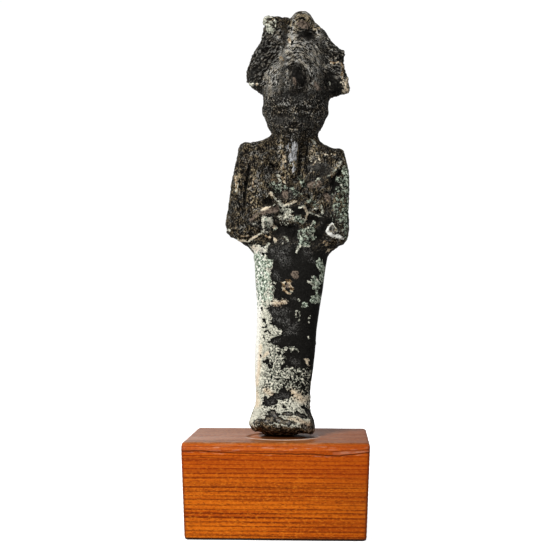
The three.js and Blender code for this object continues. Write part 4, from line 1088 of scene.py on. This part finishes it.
def wood_material(settings):
    """Oiled softwood with growth rings, pores, worn edges, a duller top, cracks in front, painted sheen and
    shade.
    """
    material, nodes, shader = new_material("oiled_softwood")
    place = nodes.add("ShaderNodeTexCoord").outputs["Object"]
    parts = nodes.add("ShaderNodeSeparateXYZ", Vector=place).outputs
    split, dents, corner, second_split = nodes.masks("wear")
    top, shaded_upright_edge, front, second_length = nodes.masks("edges")
    hollow, rim_and_gleam, shade, ends = nodes.masks("seat")
    late_colour = solid(settings.late_wood)

    def stretched(x, y, z, detail=2.0, roughness=0.5):
        """Noise with a scale of its own along each axis, as one over a size in metres."""
        mapping = nodes.add("ShaderNodeMapping", Vector=place, Scale=(x, y, z))
        return nodes.noise(mapping.outputs["Vector"], 1.0, detail, roughness)

    # Growth rings: near-level planes, bent a little along the grain and more across it
    height = nodes.plus(parts["Z"], nodes.times(stretched(20.0, 40.0, 250.0), 0.0011))
    height = nodes.plus(height, nodes.times(stretched(9.0, 25.0, 420.0), 0.0008))
    slope = nodes.plus(nodes.times(parts["Y"], 5.0), 0.22)
    height = nodes.plus(height, nodes.times(parts["Y"], slope))
    ring = nodes.math("FRACT", nodes.math("DIVIDE", height, settings.ring_spacing * MM))
    late = nodes.times(nodes.ramp(ring, 0.5, 0.8), nodes.minus(1.0, nodes.ramp(ring, 0.8, 1.0)))
    strength = nodes.ramp(stretched(9.0, 40.0, 900.0), 0.35, 0.62)
    late = nodes.times(late, nodes.plus(0.64, nodes.times(strength, 0.36)))
    late = nodes.times(late, nodes.minus(1.0, nodes.times(corner, 0.7)))
    band = nodes.ramp(stretched(15.0, 60.0, 300.0), 0.4, 0.7)
    early = nodes.blend(band, solid(settings.early_wood), solid(settings.reddish_wood))
    base = nodes.blend(late, early, late_colour)

    fibre = stretched(30.0, 120.0, 2600.0, 2.0, 0.55)
    pores = stretched(1500.0, 3200.0, 3200.0)
    open_pores = nodes.noise(place, 1 / PORE_SIZE, detail=2.0, roughness=0.6)
    rays = stretched(60.0, 2400.0, 90.0)
    satin = nodes.ramp(stretched(160.0, 900.0, 900.0, 3.0, 0.7), 0.5, 0.7)
    glints = nodes.ramp(stretched(330.0, 2600.0, 2600.0), 0.56, 0.68)
    dusty = nodes.ramp(nodes.noise(place, 1 / DUST_SIZE, detail=4.0, roughness=0.7), 0.4, 0.62)
    sides = nodes.minus(1.0, nodes.times(ends, 0.85))
    patchy_edge_and_sheen = nodes.plus(0.22, nodes.times(satin, 0.78))
    reddened = nodes.times(nodes.ramp(parts["Z"], 0.0125, 0.019), front)
    scuffed = worn_patch(nodes, nodes.times(dents, 0.8), place, 0.0009, 2.0)

    # The cracks, a painted highlight on the long crack's lower lip, and the scraped wood between them
    stray = nodes.times(nodes.minus(stretched(300.0, 60.0, 60.0, 3.0), 0.5), 0.55)
    opening = nodes.math("ABSOLUTE", nodes.plus(split, stray))
    second_opening = nodes.math("ABSOLUTE", nodes.plus(second_split, stray))
    gape = nodes.plus(0.12, nodes.times(nodes.ramp(stretched(110.0, 10.0, 10.0), 0.3, 0.6), 0.16))
    second_crack = nodes.times(nodes.ramp(second_opening, 0.2, 0.02), second_length)
    crack = nodes.math("MAXIMUM", nodes.ramp(opening, gape, 0.02), nodes.times(second_crack, 0.7))
    lip = nodes.times(nodes.ramp(nodes.math("ABSOLUTE", nodes.plus(split, 0.36)), 0.16, 0.04), satin)
    between = nodes.times(nodes.ramp(split, 0.1, 0.3), nodes.ramp(second_split, -0.1, -0.3))
    between = nodes.times(between, nodes.ramp(second_length, 0.8, 1.0))
    between = nodes.times(between, nodes.plus(0.25, nodes.times(satin, 0.75)))
    scraped_and_lip_glint = nodes.math("MAXIMUM", lip, between)

    # Coats from the bare wood up: mask, share, colour
    for mask, share, colour in (
        (nodes.times(nodes.ramp(fibre, 0.48, 0.68), sides), 0.4, late_colour),
        (nodes.times(nodes.ramp(fibre, 0.5, 0.34), sides), 0.4, PALE_FIBRE),
        (nodes.ramp(pores, 0.52, 0.7), 0.5, PORE),
        (nodes.ramp(pores, 0.46, 0.3), 0.4, PALE_PORE),
        (ends, 0.35, END_GRAIN),
        (nodes.times(nodes.ramp(rays, 0.52, 0.66), ends), 0.12, RAY),
        (nodes.times(nodes.ramp(open_pores, 0.52, 0.64), ends), 0.5, OPEN_PORE),
        # Worn top edge, paler in patches, partly a painted sheen; painted glints of light on it
        (corner, patchy_edge_and_sheen, WORN_EDGE_AND_SHEEN),
        (nodes.times(glints, corner), 0.75, GLINT),
        (top, 0.75, nodes.blend(dusty, DULL_TOP_DARK, DULL_TOP_PALE)),
        # Painted sheen in streaks on the top
        (nodes.times(top, satin), 0.4, TOP_SHEEN),
        # Orange wood inside the worn oval, partly a painted warm reflection
        (hollow, 0.85, OVAL_WOOD_AND_REFLECTION),
        # Painted shadow under the foot
        (shade, 0.9, SHADOW_UNDER_FOOT),
        # Paler front rim of the oval, partly a painted gleam
        (rim_and_gleam, 0.8, PALE_RIM_AND_GLEAM),
        # Painted shade on the block's upright edges
        (shaded_upright_edge, 0.7, DARK_DENTS_AND_EDGE_SHADE),
        # Painted shade, darker towards the block's right
        (nodes.ramp(parts["X"], 0.0, 0.026), 0.4, SHADE_TO_RIGHT),
        (reddened, 0.36, REDDENED),
        (scuffed, 0.5, DARK_DENTS_AND_EDGE_SHADE),
        (nodes.times(crack, front), 0.9, CRACK_DARK),
        # Painted highlight on the long crack's lower lip, and scraped wood between the cracks
        (nodes.times(scraped_and_lip_glint, front), 0.55, SCRAPED_AND_LIP_GLINT),
        # Painted contact shadow, darker towards the bottom
        (nodes.ramp(parts["Z"], 0.0009, 0.0005), 0.95, BOTTOM_SHADOW),
    ):
        base = nodes.coat(base, mask, share, colour)

    nodes.feed(shader.inputs["Base Color"], base)
    roughness = nodes.plus(nodes.times(ends, 0.2), nodes.plus(0.25, nodes.times(fibre, 0.3)))
    nodes.feed(shader.inputs["Roughness"], roughness)
    shader.inputs["Specular IOR Level"].default_value = 0.055
    uneven = nodes.plus(fibre, nodes.times(ring, 0.3))
    bump = nodes.add("ShaderNodeBump", Strength=0.4, Distance=0.00012, Height=uneven)
    nodes.feed(shader.inputs["Normal"], bump.outputs["Normal"])
    return material


class BRONZE_OT_figure(Operator):
    """Model the corroded casting over its solid"""

    bl_idname = "bronze.figure"
    bl_label = "Bronze figure"

    def execute(self, context):
        settings = context.scene.bronze_figure_settings
        piece = relief_blank("bronze_casting", "bronze_figure", settings.grid, settings.wear)
        corrode(piece, settings, np.array(eye(context.scene.bronze_stage_settings)) / MM)
        piece.data.materials.append(bronze_material(settings))
        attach(piece, "root")
        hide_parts("bronze_figure")
        return {"FINISHED"}


class BRONZE_OT_block(Operator):
    """Model the worn wooden block over its solid"""

    bl_idname = "bronze.block"
    bl_label = "Wooden block"

    def execute(self, context):
        settings = context.scene.bronze_block_settings
        piece = relief_blank("softwood_block", "wooden_block", settings.grid, settings.wear)
        work_wood(piece, settings)
        piece.data.materials.append(wood_material(settings))
        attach(piece, "root")
        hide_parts("wooden_block")
        return {"FINISHED"}


class BRONZE_OT_stage(Operator):
    """Set the pale floor, the soft light and the camera"""

    bl_idname = "bronze.stage"
    bl_label = "Stage"

    def execute(self, context):
        scene = context.scene
        self.lay_floor(scene)
        self.light(scene)
        self.place_camera(scene, scene.bronze_stage_settings)
        scene.view_settings.view_transform = "Standard"
        scene.view_settings.look = "None"
        return {"FINISHED"}

    def lay_floor(self, scene):
        """A floor that the camera sees as near white."""
        mesh = bpy.data.meshes.new("floor")
        form = bmesh.new()
        bmesh.ops.create_grid(form, x_segments=1, y_segments=1, size=3.0)
        form.to_mesh(mesh)
        form.free()
        floor = bpy.data.objects.new("floor", mesh)
        scene.collection.objects.link(floor)
        material, nodes, shader = new_material("pale_floor")
        shader.inputs["Base Color"].default_value = (0.6, 0.6, 0.6, 1)
        shader.inputs["Roughness"].default_value = 0.9
        shader.inputs["Emission Color"].default_value = (1, 1, 1, 1)
        seen = nodes.add("ShaderNodeLightPath").outputs["Is Camera Ray"]
        nodes.feed(shader.inputs["Emission Strength"], nodes.times(seen, 0.9))
        mesh.materials.append(material)

    def light(self, scene):
        """A white room that lights softly, and three round lamps."""
        world = bpy.data.worlds.new("white_room")
        world.use_nodes = True
        nodes = Nodes(world.node_tree)
        rays = nodes.add("ShaderNodeLightPath").outputs
        strength = nodes.plus(0.17, nodes.times(rays["Is Camera Ray"], 0.85))
        strength = nodes.plus(strength, nodes.times(rays["Is Glossy Ray"], 0.35))
        background = world.node_tree.nodes["Background"]
        background.inputs["Color"].default_value = (1, 1, 1, 1)
        nodes.feed(background.inputs["Strength"], strength)
        scene.world = world
        centre = Vector((0, 0, 0.07))
        for name, place, size, power in (
            ("key", (-0.42, -0.5, 0.5), 0.3, 7.9),
            ("fill", (0.6, -0.5, 0.25), 0.5, 1.4),
            ("back", (-0.25, 0.7, 0.35), 0.5, 0.9),
        ):
            lamp = bpy.data.lights.new(name, "AREA")
            lamp.shape = "DISK"
            lamp.size = size
            lamp.energy = power
            holder = bpy.data.objects.new(name, lamp)
            holder.location = place
            holder.rotation_euler = (centre - holder.location).to_track_quat("-Z", "Y").to_euler()
            scene.collection.objects.link(holder)

    def place_camera(self, scene, settings):
        lens = bpy.data.cameras.new("camera")
        lens.lens = settings.lens
        lens.clip_start = 0.01
        camera = bpy.data.objects.new("camera", lens)
        camera.location = eye(settings)
        camera.rotation_euler = (math.pi / 2 + settings.pitch, 0, settings.azimuth)
        scene.collection.objects.link(camera)
        scene.camera = camera


class BRONZE_PT_panel(Panel):
    """Lists the pieces and the stage"""

    bl_label = "Bronze"
    bl_idname = "BRONZE_PT_panel"
    bl_space_type = "VIEW_3D"
    bl_region_type = "UI"
    bl_category = "Bronze"

    def draw(self, context):
        for operator in (BRONZE_OT_figure, BRONZE_OT_block, BRONZE_OT_stage):
            self.layout.operator(operator.bl_idname)


CLASSES = (
    FigureSettings,
    BlockSettings,
    StageSettings,
    BRONZE_OT_figure,
    BRONZE_OT_block,
    BRONZE_OT_stage,
    BRONZE_PT_panel,
)


def register():
    for cls in CLASSES:
        bpy.utils.register_class(cls)
    bpy.types.Scene.bronze_figure_settings = PointerProperty(type=FigureSettings)
    bpy.types.Scene.bronze_block_settings = PointerProperty(type=BlockSettings)
    bpy.types.Scene.bronze_stage_settings = PointerProperty(type=StageSettings)


def unregister():
    del bpy.types.Scene.bronze_stage_settings
    del bpy.types.Scene.bronze_block_settings
    del bpy.types.Scene.bronze_figure_settings
    for cls in reversed(CLASSES):
        bpy.utils.unregister_class(cls)


def main():
    register()
    worn_patch_group()
    bpy.ops.bronze.figure()
    bpy.ops.bronze.block()
    bpy.ops.bronze.stage()


if __name__ == "__main__":
    main()
